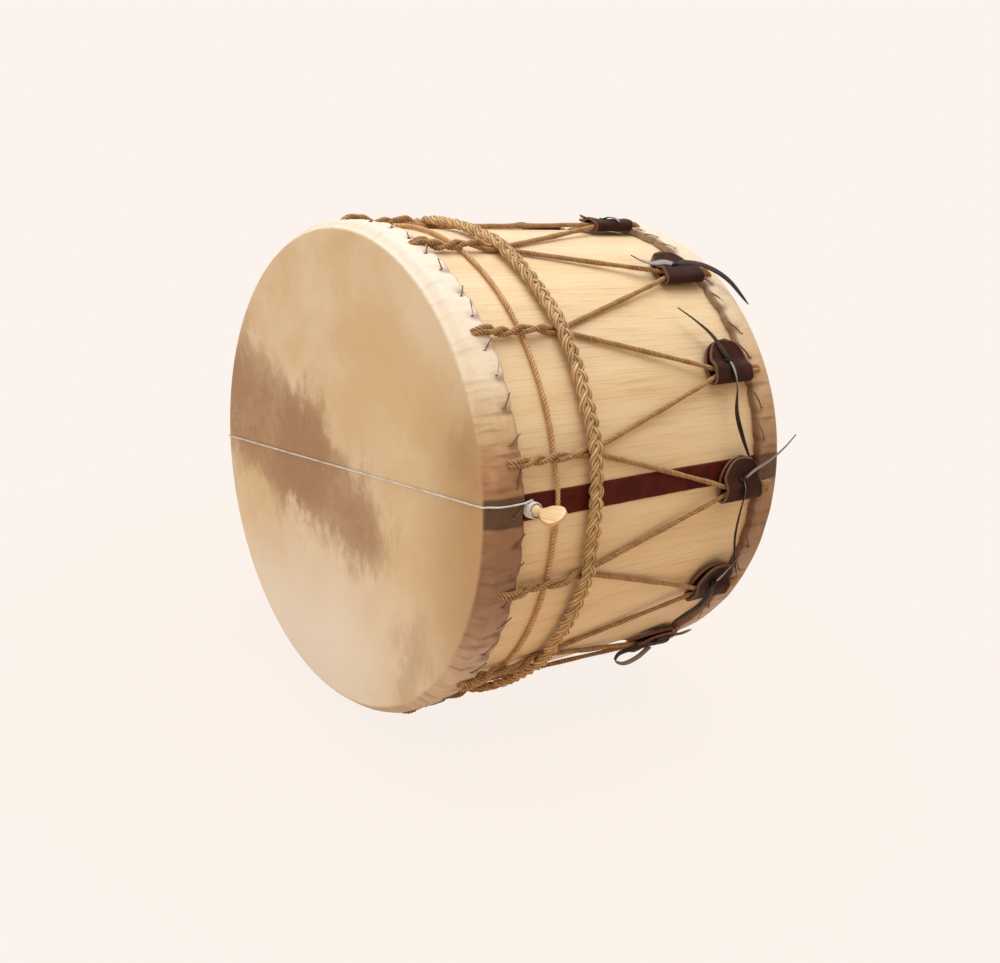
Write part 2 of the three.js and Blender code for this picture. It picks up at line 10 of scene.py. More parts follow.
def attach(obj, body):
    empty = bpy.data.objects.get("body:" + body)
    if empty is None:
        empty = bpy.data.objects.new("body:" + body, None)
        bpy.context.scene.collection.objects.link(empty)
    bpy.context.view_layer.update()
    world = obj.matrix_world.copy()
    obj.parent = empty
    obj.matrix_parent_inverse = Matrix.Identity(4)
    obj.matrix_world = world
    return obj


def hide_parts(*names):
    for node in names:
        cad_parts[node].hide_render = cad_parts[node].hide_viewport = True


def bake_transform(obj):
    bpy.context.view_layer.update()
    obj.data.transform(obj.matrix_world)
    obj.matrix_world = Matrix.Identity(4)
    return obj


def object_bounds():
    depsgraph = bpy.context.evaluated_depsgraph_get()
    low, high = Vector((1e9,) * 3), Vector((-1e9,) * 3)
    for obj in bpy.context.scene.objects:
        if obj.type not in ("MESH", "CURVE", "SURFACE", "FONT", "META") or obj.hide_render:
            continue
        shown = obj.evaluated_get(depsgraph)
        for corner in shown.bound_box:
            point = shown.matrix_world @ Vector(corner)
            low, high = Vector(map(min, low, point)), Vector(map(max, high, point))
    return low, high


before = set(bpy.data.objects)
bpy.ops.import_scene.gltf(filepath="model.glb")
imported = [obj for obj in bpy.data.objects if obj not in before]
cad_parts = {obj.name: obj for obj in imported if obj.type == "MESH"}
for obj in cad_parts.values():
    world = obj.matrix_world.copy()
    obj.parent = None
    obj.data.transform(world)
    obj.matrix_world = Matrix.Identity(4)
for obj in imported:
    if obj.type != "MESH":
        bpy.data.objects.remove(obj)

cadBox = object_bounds()
mm = 0.001

# The drum's own sizes, in millimetres and degrees. Angles run from +Z towards +X, before the drum is rolled.
drum = {
    "headToHead": 328.0,
    "shellRadius": 200.0,
    "shellWall": 7.0,
    "collarOuter": 206.8,
    "collarBack": 32.5,
    "ties": 13,
    "firstTie": 24.9,
    "lowestTie": 6,
}
tiePitch = 360 / drum["ties"]
roll = 180 - (drum["firstTie"] + drum["lowestTie"] * tiePitch)
rollMatrix = Matrix.Rotation(radians(roll), 4, "Y")


def fromDrum(x, setback, z):
    return rollMatrix @ (Vector((x, setback - drum["headToHead"], z)) * mm)


def onDrum(angle, setback, radius):
    turn = radians(angle)
    return fromDrum(radius * sin(turn), setback, radius * cos(turn))


def beside(angle, across, setback, radius):
    return onDrum(angle + degrees(across / radius), setback, radius)


def fromEnd(setback, atRear):
    return drum["headToHead"] - setback if atRear else setback


def lerp(a, b, share):
    return a + (b - a) * share


def smoothstep(low, high, value):
    share = min(max((value - low) / (high - low), 0), 1)
    return share * share * (3 - 2 * share)


def bell(off, width):
    return np.exp(-((off / width) ** 2))


def rough(seed, *where):
    return noise.noise(Vector((where + (0, 0, 0))[:3]) + Vector((seed * 7.3, seed * 3.1, 0)))


def roughRound(seed, angle, scale):
    turn = radians(angle)
    return rough(seed, cos(turn) * scale, sin(turn) * scale)


def linkedObject(name, data):
    thing = bpy.data.objects.new(name, data)
    bpy.context.scene.collection.objects.link(thing)
    return thing


# Camera, set first
cameraSpot = {
    "place": (0.82405, -0.81332, 0.18810),
    "looks": (-0.76323, 0.60906, -0.21570),
    "lens": 41.38,
    "sensor": 36.0,
    "shift": (0.003, 0.0156),
    "sees": 50.0,
}


def makeCamera(spot):
    data = bpy.data.cameras.new("camera")
    data.lens = spot["lens"]
    data.sensor_width = spot["sensor"]
    data.shift_x, data.shift_y = spot["shift"]
    data.clip_end = spot["sees"]
    camera = linkedObject("camera", data)
    turn = Vector(spot["looks"]).to_track_quat("-Z", "Y").to_matrix().to_4x4()
    camera.matrix_world = rollMatrix @ Matrix.Translation(spot["place"]) @ turn
    bpy.context.scene.camera = camera


makeCamera(cameraSpot)
print("camera set")


# Mesh helpers
def gridMesh(name, grid, closedAlong=False, closedAcross=False, alongAt=None, acrossAt=None, marks=None):
    points = np.array(grid, dtype=float)
    along, across = points.shape[:2]
    alongAt = np.arange(along + 1) if alongAt is None else alongAt
    acrossAt = np.arange(across + 1) if acrossAt is None else acrossAt
    rows = np.arange(along - (not closedAlong))
    columns = np.arange(across - (not closedAcross))
    i, j = [side.ravel() for side in np.meshgrid(rows, columns, indexing="ij")]
    corners = [(i, j), (i, j + 1), (i + 1, j + 1), (i + 1, j)]
    faces = np.stack([(a % along) * across + b % across for a, b in corners], axis=1)
    mesh = bpy.data.meshes.new(name)
    mesh.from_pydata(points.reshape(-1, 3), [], faces.tolist())
    uv = np.stack([np.stack([alongAt[a], acrossAt[b]], axis=1) for a, b in corners], axis=1)
    mesh.uv_layers.new(name="run").data.foreach_set("uv", uv.reshape(-1).astype(np.float32))
    for mark, values in (marks or {}).items():
        spread = np.broadcast_to(np.asarray(values, dtype=np.float32), (along, across))
        mesh.attributes.new(mark, "FLOAT", "POINT").data.foreach_set("value", spread.ravel())
    return mesh


def smoothed(mesh):
    mesh.polygons.foreach_set("use_smooth", [True] * len(mesh.polygons))
    return mesh


def tidyMesh(mesh, merge=0.0, capEnds=False):
    work = bmesh.new()
    work.from_mesh(mesh)
    if merge:
        bmesh.ops.remove_doubles(work, verts=work.verts, dist=merge)
    if capEnds:
        bmesh.ops.holes_fill(work, edges=[e for e in work.edges if e.is_boundary], sides=0)
    bmesh.ops.recalc_face_normals(work, faces=work.faces)
    work.to_mesh(mesh)
    work.free()
    return smoothed(mesh)


def joinedMesh(name, meshes):
    work = bmesh.new()
    for mesh in meshes:
        work.from_mesh(mesh)
        bpy.data.meshes.remove(mesh)
    result = bpy.data.meshes.new(name)
    work.to_mesh(result)
    work.free()
    return smoothed(result)


def setMaterial(mesh, material):
    mesh.materials.clear()
    mesh.materials.append(material)


def newObject(mesh, material):
    piece = linkedObject(mesh.name, mesh)
    setMaterial(mesh, material)
    return piece


def applied(piece, material):
    bpy.context.view_layer.update()
    result = bpy.data.meshes.new_from_object(piece.evaluated_get(bpy.context.evaluated_depsgraph_get()))
    piece.modifiers.clear()
    old = piece.data
    piece.data = result
    result.name = old.name
    bpy.data.meshes.remove(old)
    setMaterial(result, material)
    smoothed(result)
    return piece


def dress(piece, slot, body, *nodes):
    if nodes:
        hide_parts(*nodes)
    if body:
        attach(piece, body)
    return piece


# Paths: a smooth curve through the given points, in even steps
def smoothPath(points, step):
    knots = [Vector(p) for p in points]
    knots = [2 * knots[0] - knots[1]] + knots + [2 * knots[-1] - knots[-2]]
    fine = []
    for i in range(1, len(knots) - 2):
        a, b, c, d = knots[i - 1 : i + 3]
        t1 = sqrt((b - a).length)
        t2 = t1 + sqrt((c - b).length)
        t3 = t2 + sqrt((d - c).length)
        for k in range(16):
            t = lerp(t1, t2, k / 16)
            between = (t - t1) / (t2 - t1)
            bc = b.lerp(c, between)
            before = a.lerp(b, t / t1).lerp(bc, t / t2)
            after = bc.lerp(c.lerp(d, (t - t2) / (t3 - t2)), (t - t1) / (t3 - t1))
            fine.append(before.lerp(after, between))
    fine = np.array(fine + [knots[-2]])
    run = np.concatenate([[0], np.cumsum(np.linalg.norm(np.diff(fine, axis=0), axis=1))])
    count = max(int(run[-1] / (step * mm)), 3)
    at = np.linspace(0, run[-1], count + 1)
    return np.stack([np.interp(at, run, fine[:, k]) for k in range(3)], axis=1)


def unit(vectors):
    return vectors / np.maximum(np.linalg.norm(vectors, axis=-1, keepdims=True), 1e-12)


def pathFrame(path, closed=False, out=None):
    if closed:
        heading = unit(np.roll(path, -1, axis=0) - np.roll(path, 1, axis=0))
    else:
        heading = unit(np.gradient(path, axis=0))
    if out is None:
        out = unit(path * np.array([1, 0, 1]))
    out = np.broadcast_to(np.asarray(out, dtype=float), path.shape)
    high = unit(out - heading * np.sum(out * heading, axis=1, keepdims=True))
    wide = np.cross(high, heading)
    run = np.concatenate([[0], np.cumsum(np.linalg.norm(np.diff(path, axis=0), axis=1))])
    return high, wide, run


# A laid rope: strands lying side by side that turn about the path, with a mark for painted shade in the
# grooves between the strands
ropeLay = {"strandShare": 0.65, "sides": 18, "uneven": 0.16, "leastGroove": 0.12, "evenEnd": 0.02}


def laidRope(name, path, radius, lay, strands=3, closed=False, out=None, sides=None, strandShare=None):
    high, wide, run = pathFrame(path, closed, out)
    sides = sides or ropeLay["sides"]
    full = run[-1] + (np.linalg.norm(path[0] - path[-1]) if closed else 0)
    turns = full / (lay * mm)
    if closed:
        turns = round(turns * strands) / strands
    section = np.arange(sides + 1) / sides * 2 * pi - pi / strands
    fromCrest = (section + pi / strands) % (2 * pi / strands) - pi / strands
    strand = strandShare or ropeLay["strandShare"]
    middle = 1 - strand
    edge = middle * np.cos(fromCrest) + np.sqrt(strand**2 - (middle * np.sin(fromCrest)) ** 2)
    # How deep in a groove each side of the section lies: the mask for painted shade
    grooveShade = (1 - edge) / max(1 - edge.min(), ropeLay["leastGroove"])
    angle = section[None, :-1] + (run / full * turns * 2 * pi)[:, None]
    uneven = np.array([rough(radius, at * 70, turns % 1) for at in run])
    uneven = uneven * np.clip(np.minimum(run, full - run) / ropeLay["evenEnd"], 0, 1)
    size = radius * mm * edge[None, :-1] * (1 + ropeLay["uneven"] * uneven[:, None])
    sideways = wide[:, None, :] * (np.cos(angle) * size)[..., None]
    grid = path[:, None, :] + sideways + high[:, None, :] * (np.sin(angle) * size)[..., None]
    marks = {"grooveShade": grooveShade[None, :-1]}
    mesh = gridMesh(name, grid, closed, True, np.append(run, full), section * radius * mm, marks)
    return tidyMesh(mesh, capEnds=not closed)


# Shader nodes. A wire is an output of a node: sums and products of wires are maths nodes.
class Wire:
    def __init__(self, tree, socket):
        self.tree = tree
        self.socket = socket

    def maths(self, operation, *others):
        return addNode(self.tree, "ShaderNodeMath", dict(enumerate((self,) + others)), operation=operation)[0]

    def __add__(self, other):
        return self.maths("ADD", other)

    def __sub__(self, other):
        return self.maths("SUBTRACT", other)

    def __mul__(self, other):
        return self.maths("MULTIPLY", other)

    def __truediv__(self, other):
        return self.maths("DIVIDE", other)

    def span(self, low, high, toLow=0.0, toHigh=1.0, kind="SMOOTHSTEP"):
        links = {"Value": self, "From Min": low, "From Max": high, "To Min": toLow, "To Max": toHigh}
        return addNode(self.tree, "ShaderNodeMapRange", links, interpolation_type=kind)[0]

    def mix(self, first, second):
        first, second = [colour(c) if isinstance(c, str) else c for c in (first, second)]
        return addNode(self.tree, "ShaderNodeMix", {0: self, 6: first, 7: second}, data_type="RGBA")[2]

    def over(self, base, tint, share):
        return (self * share).mix(base, tint)

    def stretched(self, factors):
        return addNode(self.tree, "ShaderNodeVectorMath", {0: self, 1: factors}, operation="MULTIPLY")[0]

    def noise(self, scale=1.0, detail=2.0, roughness=0.5, distortion=0.0):
        links = {"Vector": self, "Scale": scale, "Detail": detail}
        links.update({"Roughness": roughness, "Distortion": distortion})
        return addNode(self.tree, "ShaderNodeTexNoise", links)

    def into(self, socket):
        self.tree.links.new(self.socket, socket)


def newNode(tree, kind, links=None, **settings):
    node = tree.nodes.new(kind)
    for key, value in settings.items():
        setattr(node, key, value)
    for socket, source in (links or {}).items():
        if isinstance(source, Wire):
            source.into(node.inputs[socket])
        else:
            node.inputs[socket].default_value = source
    return node


def wiresOf(tree, node):
    wires = {socket.name: Wire(tree, socket) for socket in node.outputs}
    wires.update({k: Wire(tree, socket) for k, socket in enumerate(node.outputs)})
    return wires


def addNode(tree, kind, links=None, **settings):
    return wiresOf(tree, newNode(tree, kind, links, **settings))


def useGroup(group, links):
    return addNode(links["Vector"].tree, "ShaderNodeGroup", links, node_tree=group)


def colour(code):
    channels = [int(code[k : k + 2], 16) / 255 for k in (1, 3, 5)]
    return tuple(c / 12.92 if c <= 0.04045 else ((c + 0.055) / 1.055) ** 2.4 for c in channels) + (1.0,)


def objectPlace(tree, turned=False):
    source = addNode(tree, "ShaderNodeTexCoord")["Object"]
    if not turned:
        return source
    return addNode(tree, "ShaderNodeMapping", {"Vector": source, "Rotation": (0, radians(-roll), 0)})[0]


def runPlace(tree):
    return addNode(tree, "ShaderNodeUVMap", uv_map="run")[0]


def mark(tree, name):
    return addNode(tree, "ShaderNodeAttribute", attribute_name=name)["Fac"]


def newMaterial(name, plain):
    material = bpy.data.materials.new(name)
    material.use_nodes = True
    shader = material.node_tree.nodes["Principled BSDF"]
    for socket, value in plain.items():
        shader.inputs[socket].default_value = value
    return material, material.node_tree, shader


def finishMaterial(shader, base, height, depth, strength=1.0, roughness=None):
    base.into(shader.inputs["Base Color"])
    if roughness:
        roughness.into(shader.inputs["Roughness"])
    links = {"Height": height, "Distance": depth, "Strength": strength}
    addNode(base.tree, "ShaderNodeBump", links)[0].into(shader.inputs["Normal"])


# Shader groups that the materials share: clouds, leather pebbles, fibres, worn edges and tapered bars
def newGroup(name, inputs, outputs):
    group = bpy.data.node_groups.new(name, "ShaderNodeTree")
    for label, value in inputs.items():
        kind = "NodeSocketVector" if label == "Vector" else "NodeSocketFloat"
        socket = group.interface.new_socket(label, in_out="INPUT", socket_type=kind)
        if value is not None:
            socket.default_value = value
    for label in outputs:
        group.interface.new_socket(label, in_out="OUTPUT", socket_type="NodeSocketFloat")
    start = wiresOf(group, group.nodes.new("NodeGroupInput"))
    return group, start, group.nodes.new("NodeGroupOutput").inputs


def makeMottle():
    inputs = {"Vector": None, "Scale": 10.0, "Low": 0.4, "High": 0.6}
    group, start, end = newGroup("mottle", inputs, ["Mask", "Fine"])
    cloud = start["Vector"].noise(start["Scale"], 5.0, 0.62, 0.4)[0]
    cloud.span(start["Low"], start["High"]).into(end["Mask"])
    start["Vector"].noise(start["Scale"] * 9.0, 3.0)[0].into(end["Fine"])
    return group


def makeLeatherGrain():
    group, start, end = newGroup("leatherGrain", {"Vector": None, "Scale": 500.0}, ["Height", "Crease"])
    drift = start["Vector"].noise(start["Scale"])[1].stretched((0.0012, 0.0012, 0.0012))
    moved = addNode(group, "ShaderNodeVectorMath", {0: start["Vector"], 1: drift}, operation="ADD")[0]
    links = {"Vector": moved, "Scale": start["Scale"]}
    cells = addNode(group, "ShaderNodeTexVoronoi", links, feature="DISTANCE_TO_EDGE")[0]
    cells.span(0.0, 0.22).into(end["Height"])
    cells.span(0.0, 0.22, 1.0, 0.0).into(end["Crease"])
    return group


def makeFibre():
    inputs = {"Vector": None, "Along": 90.0, "Across": 1400.0, "Slant": 0.6}
    group, start, end = newGroup("fibre", inputs, ["Strand", "Tone"])
    apart = addNode(group, "ShaderNodeSeparateXYZ", {0: start["Vector"]})
    slanted = apart[0] * start["Slant"] + apart[1]
    links = {0: apart[0] * start["Along"], 1: slanted * start["Across"]}
    addNode(group, "ShaderNodeCombineXYZ", links)[0].noise(1.0, 3.0, 0.7)[0].into(end["Strand"])
    start["Vector"].noise(70.0)[0].into(end["Tone"])
    return group


def makeEdgeWear():
    inputs = {"Vector": None, "Edge": 0.0, "Scale": 120.0, "Amount": 0.5}
    group, start, end = newGroup("edgeWear", inputs, ["Mask"])
    chips = start["Vector"].noise(start["Scale"], 4.0)[0] * 0.9 - 0.45
    ((start["Edge"] + chips).span(0.45, 0.95) * start["Amount"]).into(end["Mask"])
    return group


def makeBar():
    labels = ("From X", "From Z", "To X", "To Z", "From Radius", "To Radius")
    group, start, end = newGroup("taperedBar", {"Vector": None, **dict.fromkeys(labels, 0.0)}, ["Depth"])
    ax, az, bx, bz, fromRadius, toRadius = [start[label] for label in labels]
    place = addNode(group, "ShaderNodeSeparateXYZ", {0: start["Vector"]})
    dx, dz = place["X"] - ax, place["Z"] - az
    ex, ez = bx - ax, bz - az
    along = (dx * ex + dz * ez) / (ex * ex + ez * ez)
    share = addNode(group, "ShaderNodeClamp", {0: along})[0]
    px, pz = dx - share * ex, dz - share * ez
    away = (px * px + pz * pz).maths("SQRT")
    ((toRadius - fromRadius) * share + fromRadius - away).into(end["Depth"])
    return group


mottle = makeMottle()
taperedBar = makeBar()
leatherGrain = makeLeatherGrain()
fibre = makeFibre()
edgeWear = makeEdgeWear()


def clouded(place, scale, low, high):
    return useGroup(mottle, {"Vector": place, "Scale": scale, "Low": low, "High": high})


# Ash veneer: pale, with fine broken lines that run along the drum
ash = {
    "pale": "#eecfa2",
    "warm": "#e6c28f",
    "line": "#b78350",
    "cloud": ("#d8ad78", 0.16),
    "lines": (600.0, 14.0, 1.0),
    "figure": (34.0, 2.0, 1.0),
}


def makeAsh():
    material, tree, shader = newMaterial("ashVeneer", {"Specular IOR Level": 0.3})
    figure = runPlace(tree).stretched(ash["figure"]).noise(1.0, 3.0)[0]
    lines = runPlace(tree).stretched(ash["lines"]).noise(1.0, 4.0, 0.7, 0.25)[0]
    line = lines.span(0.46, 0.7)
    base = figure.span(0.3, 0.7).mix(ash["pale"], ash["warm"])
    base = (line * figure.span(0.3, 0.7, 0.24, 0.5)).mix(base, ash["line"])
    base = clouded(objectPlace(tree), 7.0, 0.35, 0.7)["Mask"].over(base, *ash["cloud"])
    sheen = lines.span(0.4, 0.7, 0.42, 0.58)
    finishMaterial(shader, base, lines.span(0.46, 0.7, 1.0, 0.0), 0.00006, roughness=sheen)
    return material


# Calf skin: cloudy, with brown pigment across the batter face and round one side of the collars.
# A stain has its colour and its share. A pigment bar has its two ends, its radii and its strength.
# The collar's colours go round by angle. They hold brown pigment towards the strap's side, and also painted
# light: paler on top and darker downwards, as from a lamp above, with a lighter band under the brown side as
# painted bounce light.
skinLook = {
    "pale": "#e3cba9",
    "warm": "#d8b78b",
    "vein": ("#b98d62", 0.1),
    "lowLight": ("#efe2d0", 0.85),
    "rightTan": ("#b58b5e", 0.8),
    "pigment": "#a47a56",
    "darkStreak": ("#6d4630", 0.55),
    "blotch": ("#c9a078", 0.4),
    # The fold colour is laid on by the heads' shadow mark: painted shade along the collar's lip, and partly
    # painted shade, partly brown discolouration, by the stitches
    "fold": ("#6f4833", 0.7),
    "strapShade": ("#493220", 0.82),
    "strapHalf": 3.0,
    "bars": [
        ((-0.190, 0.048), (-0.060, 0.006), 0.060, 0.054, 0.98),
        ((-0.060, 0.006), (0.030, -0.036), 0.054, 0.040, 0.86),
        ((0.030, -0.036), (0.068, -0.048), 0.038, 0.020, 0.42),
        ((-0.182, 0.070), (-0.152, 0.120), 0.030, 0.008, 0.55),
        ((0.110, -0.130), (0.100, -0.160), 0.027, 0.021, 0.5),
        ((0.176, 0.046), (0.178, 0.030), 0.022, 0.020, 0.45),
    ],
}
# Collar colours by angle: pigment with painted light, paler on top and darker downwards
frontCollarAndLight = [(-180, "#cdae8c"), (-110, "#d2b08a"), (-60, "#e3cba9"), (0, "#ebd5b9"), (42, "#ebd5b9")]
frontCollarAndLight += [(60, "#ebd3b1"), (67, "#e2c59c"), (73, "#d0a97d"), (82, "#b4845c"), (96, "#946a49")]
frontCollarAndLight += [(110, "#9a7256"), (120, "#b58f72"), (132, "#d3b596"), (180, "#cdae8c")]
rearCollarAndLight = [(-180, "#c9ab89"), (-100, "#c59d74"), (-50, "#dcc09a"), (10, "#e6cfae"), (48, "#dcc09a")]
rearCollarAndLight += [(62, "#cfab80"), (76, "#b98f65"), (90, "#98704c"), (104, "#97704f"), (125, "#b5957a")]
rearCollarAndLight += [(150, "#cdb193"), (180, "#c9ab89")]


def angleRamp(angle, stops):
    share = angle.span(-180.0, 180.0, kind="LINEAR")
    node = newNode(angle.tree, "ShaderNodeValToRGB", {0: share})
    elements = node.color_ramp.elements
    while len(elements) < len(stops):
        elements.new(0.5)
    for element, (degree, code) in zip(elements, stops):
        element.position = (degree + 180) / 360
    for element, (degree, code) in zip(elements, stops):
        element.color = colour(code)
    return Wire(angle.tree, node.outputs[0])


def faceTint(x, z, clouds, veins):
    base = clouds["Mask"].mix(skinLook["pale"], skinLook["warm"])
    base = veins["Mask"].over(base, *skinLook["vein"])
    paleLow = z.span(-0.03, -0.16) * x.span(0.13, -0.02)
    right = x.span(0.1, 0.19) * z.span(0.13, 0.02)
    return right.over(paleLow.over(base, *skinLook["lowLight"]), *skinLook["rightTan"])


def pigmentOn(base, face, place, clouds, veins):
    tall = place.stretched((1.0, 1.0, 0.62))
    ragged = clouded(tall, 30.0, 0.28, 0.72)["Mask"] * 0.032 - 0.013
    ragged += clouded(tall, 120.0, 0.3, 0.7)["Mask"] * 0.014 - 0.007
    washed = face * clouds["Fine"].span(0.36, 0.6, 1.0, 0.85)
    for start, end, fromRadius, toRadius, strength in skinLook["bars"]:
        links = dict(enumerate((*start, *end, fromRadius, toRadius), 1), Vector=place)
        depth = useGroup(taperedBar, links)["Depth"]
        torn = (depth + ragged).span(-0.014, 0.018)
        faded = depth.span(-0.018, 0.03, 0.42, 1.0)
        grainy = veins["Fine"].span(0.3, 0.7, strength * 0.88, strength)
        base = (torn * faded * grainy * washed).mix(base, skinLook["pigment"])
    return base


def collarTint(x, z, clouds, veins, streaks, stops):
    angle = x.maths("ARCTAN2", z) * (180 / pi)
    # The angle's colours are partly painted light: paler on top, darker downwards, a lighter band under the
    # brown
    collar = angleRamp(angle + clouds["Fine"] * 16.0 - 8.0, stops)
    brown = angle.span(52.0, 84.0)
    # Darker along the streaks that also carry the collar's crease bump, most on the brown side
    darkStreak = streaks.span(0.48, 0.72) * brown.span(0.0, 1.0, 0.25, 1.0)
    collar = darkStreak.over(collar, *skinLook["darkStreak"])
    collar = (veins["Mask"] * brown).over(collar, *skinLook["blotch"])
    offStrap = (angle - 90.0).maths("ABSOLUTE")
    under = offStrap.span(skinLook["strapHalf"] + 0.5, skinLook["strapHalf"] - 0.3)
    return under.over(collar, *skinLook["strapShade"])


def makeSkin(name, stops, pigmented):
    material, tree, shader = newMaterial(name, {"Specular IOR Level": 0.25})
    place = objectPlace(tree, turned=True)
    apart = addNode(tree, "ShaderNodeSeparateXYZ", {0: place})
    x, z = apart["X"], apart["Z"]
    clouds = clouded(place, 8.0, 0.34, 0.68)
    veins = clouded(place, 30.0, 0.5, 0.75)
    side = mark(tree, "side")
    base = faceTint(x, z, clouds, veins)
    if pigmented:
        base = pigmentOn(base, side * -1.0 + 1.0, place, clouds, veins)
    streaks = runPlace(tree).stretched((170.0, 26.0, 1.0)).noise(1.0, 4.0)[0]
    base = side.mix(base, collarTint(x, z, clouds, veins, streaks, stops))
    # Painted shade along the lip and in the puckers by the stitches, partly brown discolouration there
    base = mark(tree, "shadow").over(base, *skinLook["fold"])
    gloss = clouds["Fine"].span(0.3, 0.7, 0.46, 0.62)
    finishMaterial(shader, base, streaks * side * 3.0 + veins["Fine"], 0.0003, 0.7, gloss)
    return material


# Fibres: the light, middle and dark colour, hairs to the metre, their slant, the roughness and the depth. The
# dark colour is also painted shade in the grooves between strands and between the gut's turns.
fibreLooks = {
    "jute": ("#d9a973", "#a97a48", "#482b16", 3000.0, 0.6, 0.8, 0.0002),
    "straw": ("#fbd39a", "#c38d55", "#3f220f", 2600.0, 0.05, 0.75, 0.0003),
    "cordFibre": ("#f2c48d", "#d6a06a", "#845530", 3000.0, 0.6, 0.78, 0.00016),
    "gutFibre": ("#fdf7ec", "#f3eadb", "#8d7a68", 5200.0, 0.4, 0.42, 0.00003),
    "threadFibre": ("#8f6650", "#6b4837", "#3a241a", 5200.0, 0.5, 0.7, 0.00006),
}


def makeFibreMaterial(name):
    light, middle, dark, across, slant, roughness, depth = fibreLooks[name]
    material, tree, shader = newMaterial(name, {"Specular IOR Level": 0.25})
    hairs = useGroup(fibre, {"Vector": runPlace(tree), "Across": across, "Slant": slant})
    base = hairs["Strand"].span(0.32, 0.68).mix(middle, light)
    base = hairs["Tone"].span(0.42, 0.66).over(base, dark, 0.3)
    # Painted shade: the dark colour laid into the grooves between the strands
    base = mark(tree, "grooveShade").maths("POWER", 1.4).over(base, dark, 0.86)
    dull = hairs["Strand"].span(0.3, 0.7, roughness - 0.12, roughness + 0.06)
    finishMaterial(shader, base, hairs["Strand"], depth, roughness=dull)
    return material


# Leathers: the top, deep, worn and inner colour, the pebbles' scale and depth, roughness, specular and wear
leatherLooks = {
    "strapLeather": ("#621f11", "#46150c", "#823a28", "#621f11", 620.0, 0.0003, 0.6, 0.08, 0.3),
    "tugLeather": ("#482719", "#2f1810", "#9a6f55", "#8a6a55", 900.0, 0.00012, 0.52, 0.07, 0.55),
    "thongLeather": ("#3d2a20", "#221611", "#6b584c", "#a3968a", 1100.0, 0.0001, 0.5, 0.2, 0.4),
}


def wornEdge(tree, place, scale, amount):
    links = {"Vector": place, "Edge": mark(tree, "edge"), "Scale": scale, "Amount": amount}
    return useGroup(edgeWear, links)["Mask"]


def makeLeather(name):
    top, deep, worn, flesh, scale, depth, roughness, specular, wear = leatherLooks[name]
    material, tree, shader = newMaterial(name, {"Specular IOR Level": specular})
    place = objectPlace(tree)
    grain = useGroup(leatherGrain, {"Vector": place, "Scale": scale})
    cloud = clouded(place, 55.0, 0.34, 0.7)
    base = cloud["Mask"].mix(top, deep)
    base = grain["Crease"].over(base, deep, 0.55)
    base = mark(tree, "flesh").mix(base, flesh)
    base = wornEdge(tree, place, 160.0, wear).mix(base, worn)
    gloss = cloud["Fine"].span(0.3, 0.7, roughness - 0.1, roughness + 0.1)
    finishMaterial(shader, base, grain["Height"], depth, 0.8, gloss)
    return material


# Boxwood for the peg, a plain wood for the hoops
def makePegWood():
    plain = {"Roughness": 0.34, "Coat Weight": 0.15, "Coat Roughness": 0.3}
    material, tree, shader = newMaterial("boxwood", plain)
    place = objectPlace(tree, turned=True)
    rings = place.stretched((60, 620, 620)).noise(1.0, 4.0)[0]
    base = rings.span(0.34, 0.68).mix("#f0cf9f", "#dcae72")
    base = wornEdge(tree, place, 260.0, 0.5).mix(base, "#b9803f")
    finishMaterial(shader, base, rings, 0.00008)
    return material


def makeHoopWood():
    material, tree, shader = newMaterial("hoopWood", {"Roughness": 0.6})
    grain = objectPlace(tree).stretched((30, 500, 30)).noise(1.0, 4.0)[0]
    finishMaterial(shader, grain.span(0.35, 0.7).mix("#c79d6c", "#9c7043"), grain, 0.0001)
    return material


ashVeneer = makeAsh()
frontSkin = makeSkin("batterSkin", frontCollarAndLight, True)
rearSkin = makeSkin("rearSkin", rearCollarAndLight, False)
jute, straw, cordFibre, gutFibre, threadFibre = [makeFibreMaterial(name) for name in fibreLooks]
strapLeather, tugLeather, thongLeather = [makeLeather(name) for name in leatherLooks]
pegWood = makePegWood()
hoopWood = makeHoopWood()
print("materials made")


# Shell: a bent cylinder with rounded bearing edges, its veneer seam under the strap
shellSizes = {"front": 1.5, "edgeRound": 3.5, "segments": 260, "seamAngle": 90.0}


def latheMesh(name, profile, segments, fromAngle, shape=None, marks=None):
    grid = []
    for angle in np.linspace(0, 360, segments, endpoint=False) + fromAngle:
        ring = [shape(angle, k, *p) if shape else p for k, p in enumerate(profile)]
        grid.append([onDrum(angle, setback, radius) for radius, setback in ring])
    alongAt = np.linspace(0, 2 * pi * drum["shellRadius"] * mm, segments + 1)
    acrossAt = np.array([setback * mm for radius, setback in profile + profile[:1]])
    return gridMesh(name, grid, True, False, alongAt, acrossAt, marks)


def makeShell():
    radius = drum["shellRadius"]
    inner = radius - drum["shellWall"]
    front = shellSizes["front"]
    back = drum["headToHead"] - front
    edge = shellSizes["edgeRound"]
    turns = [k / 6 * pi / 2 for k in range(7)]
    profile = [(inner, front)]
    profile += [(radius - edge + edge * sin(turn), front + edge - edge * cos(turn)) for turn in turns]
    profile += [(radius, lerp(front + edge, back - edge, k / 12)) for k in range(1, 12)]
    profile += [(radius - edge + edge * cos(turn), back - edge + edge * sin(turn)) for turn in turns]
    profile += [(inner, back), (inner, front)]
    mesh = latheMesh("shell_veneer", profile, shellSizes["segments"], shellSizes["seamAngle"])
    piece = newObject(tidyMesh(mesh, merge=1e-6), ashVeneer)
    return dress(piece, "shell_wood", "drum", "shell")


makeShell()


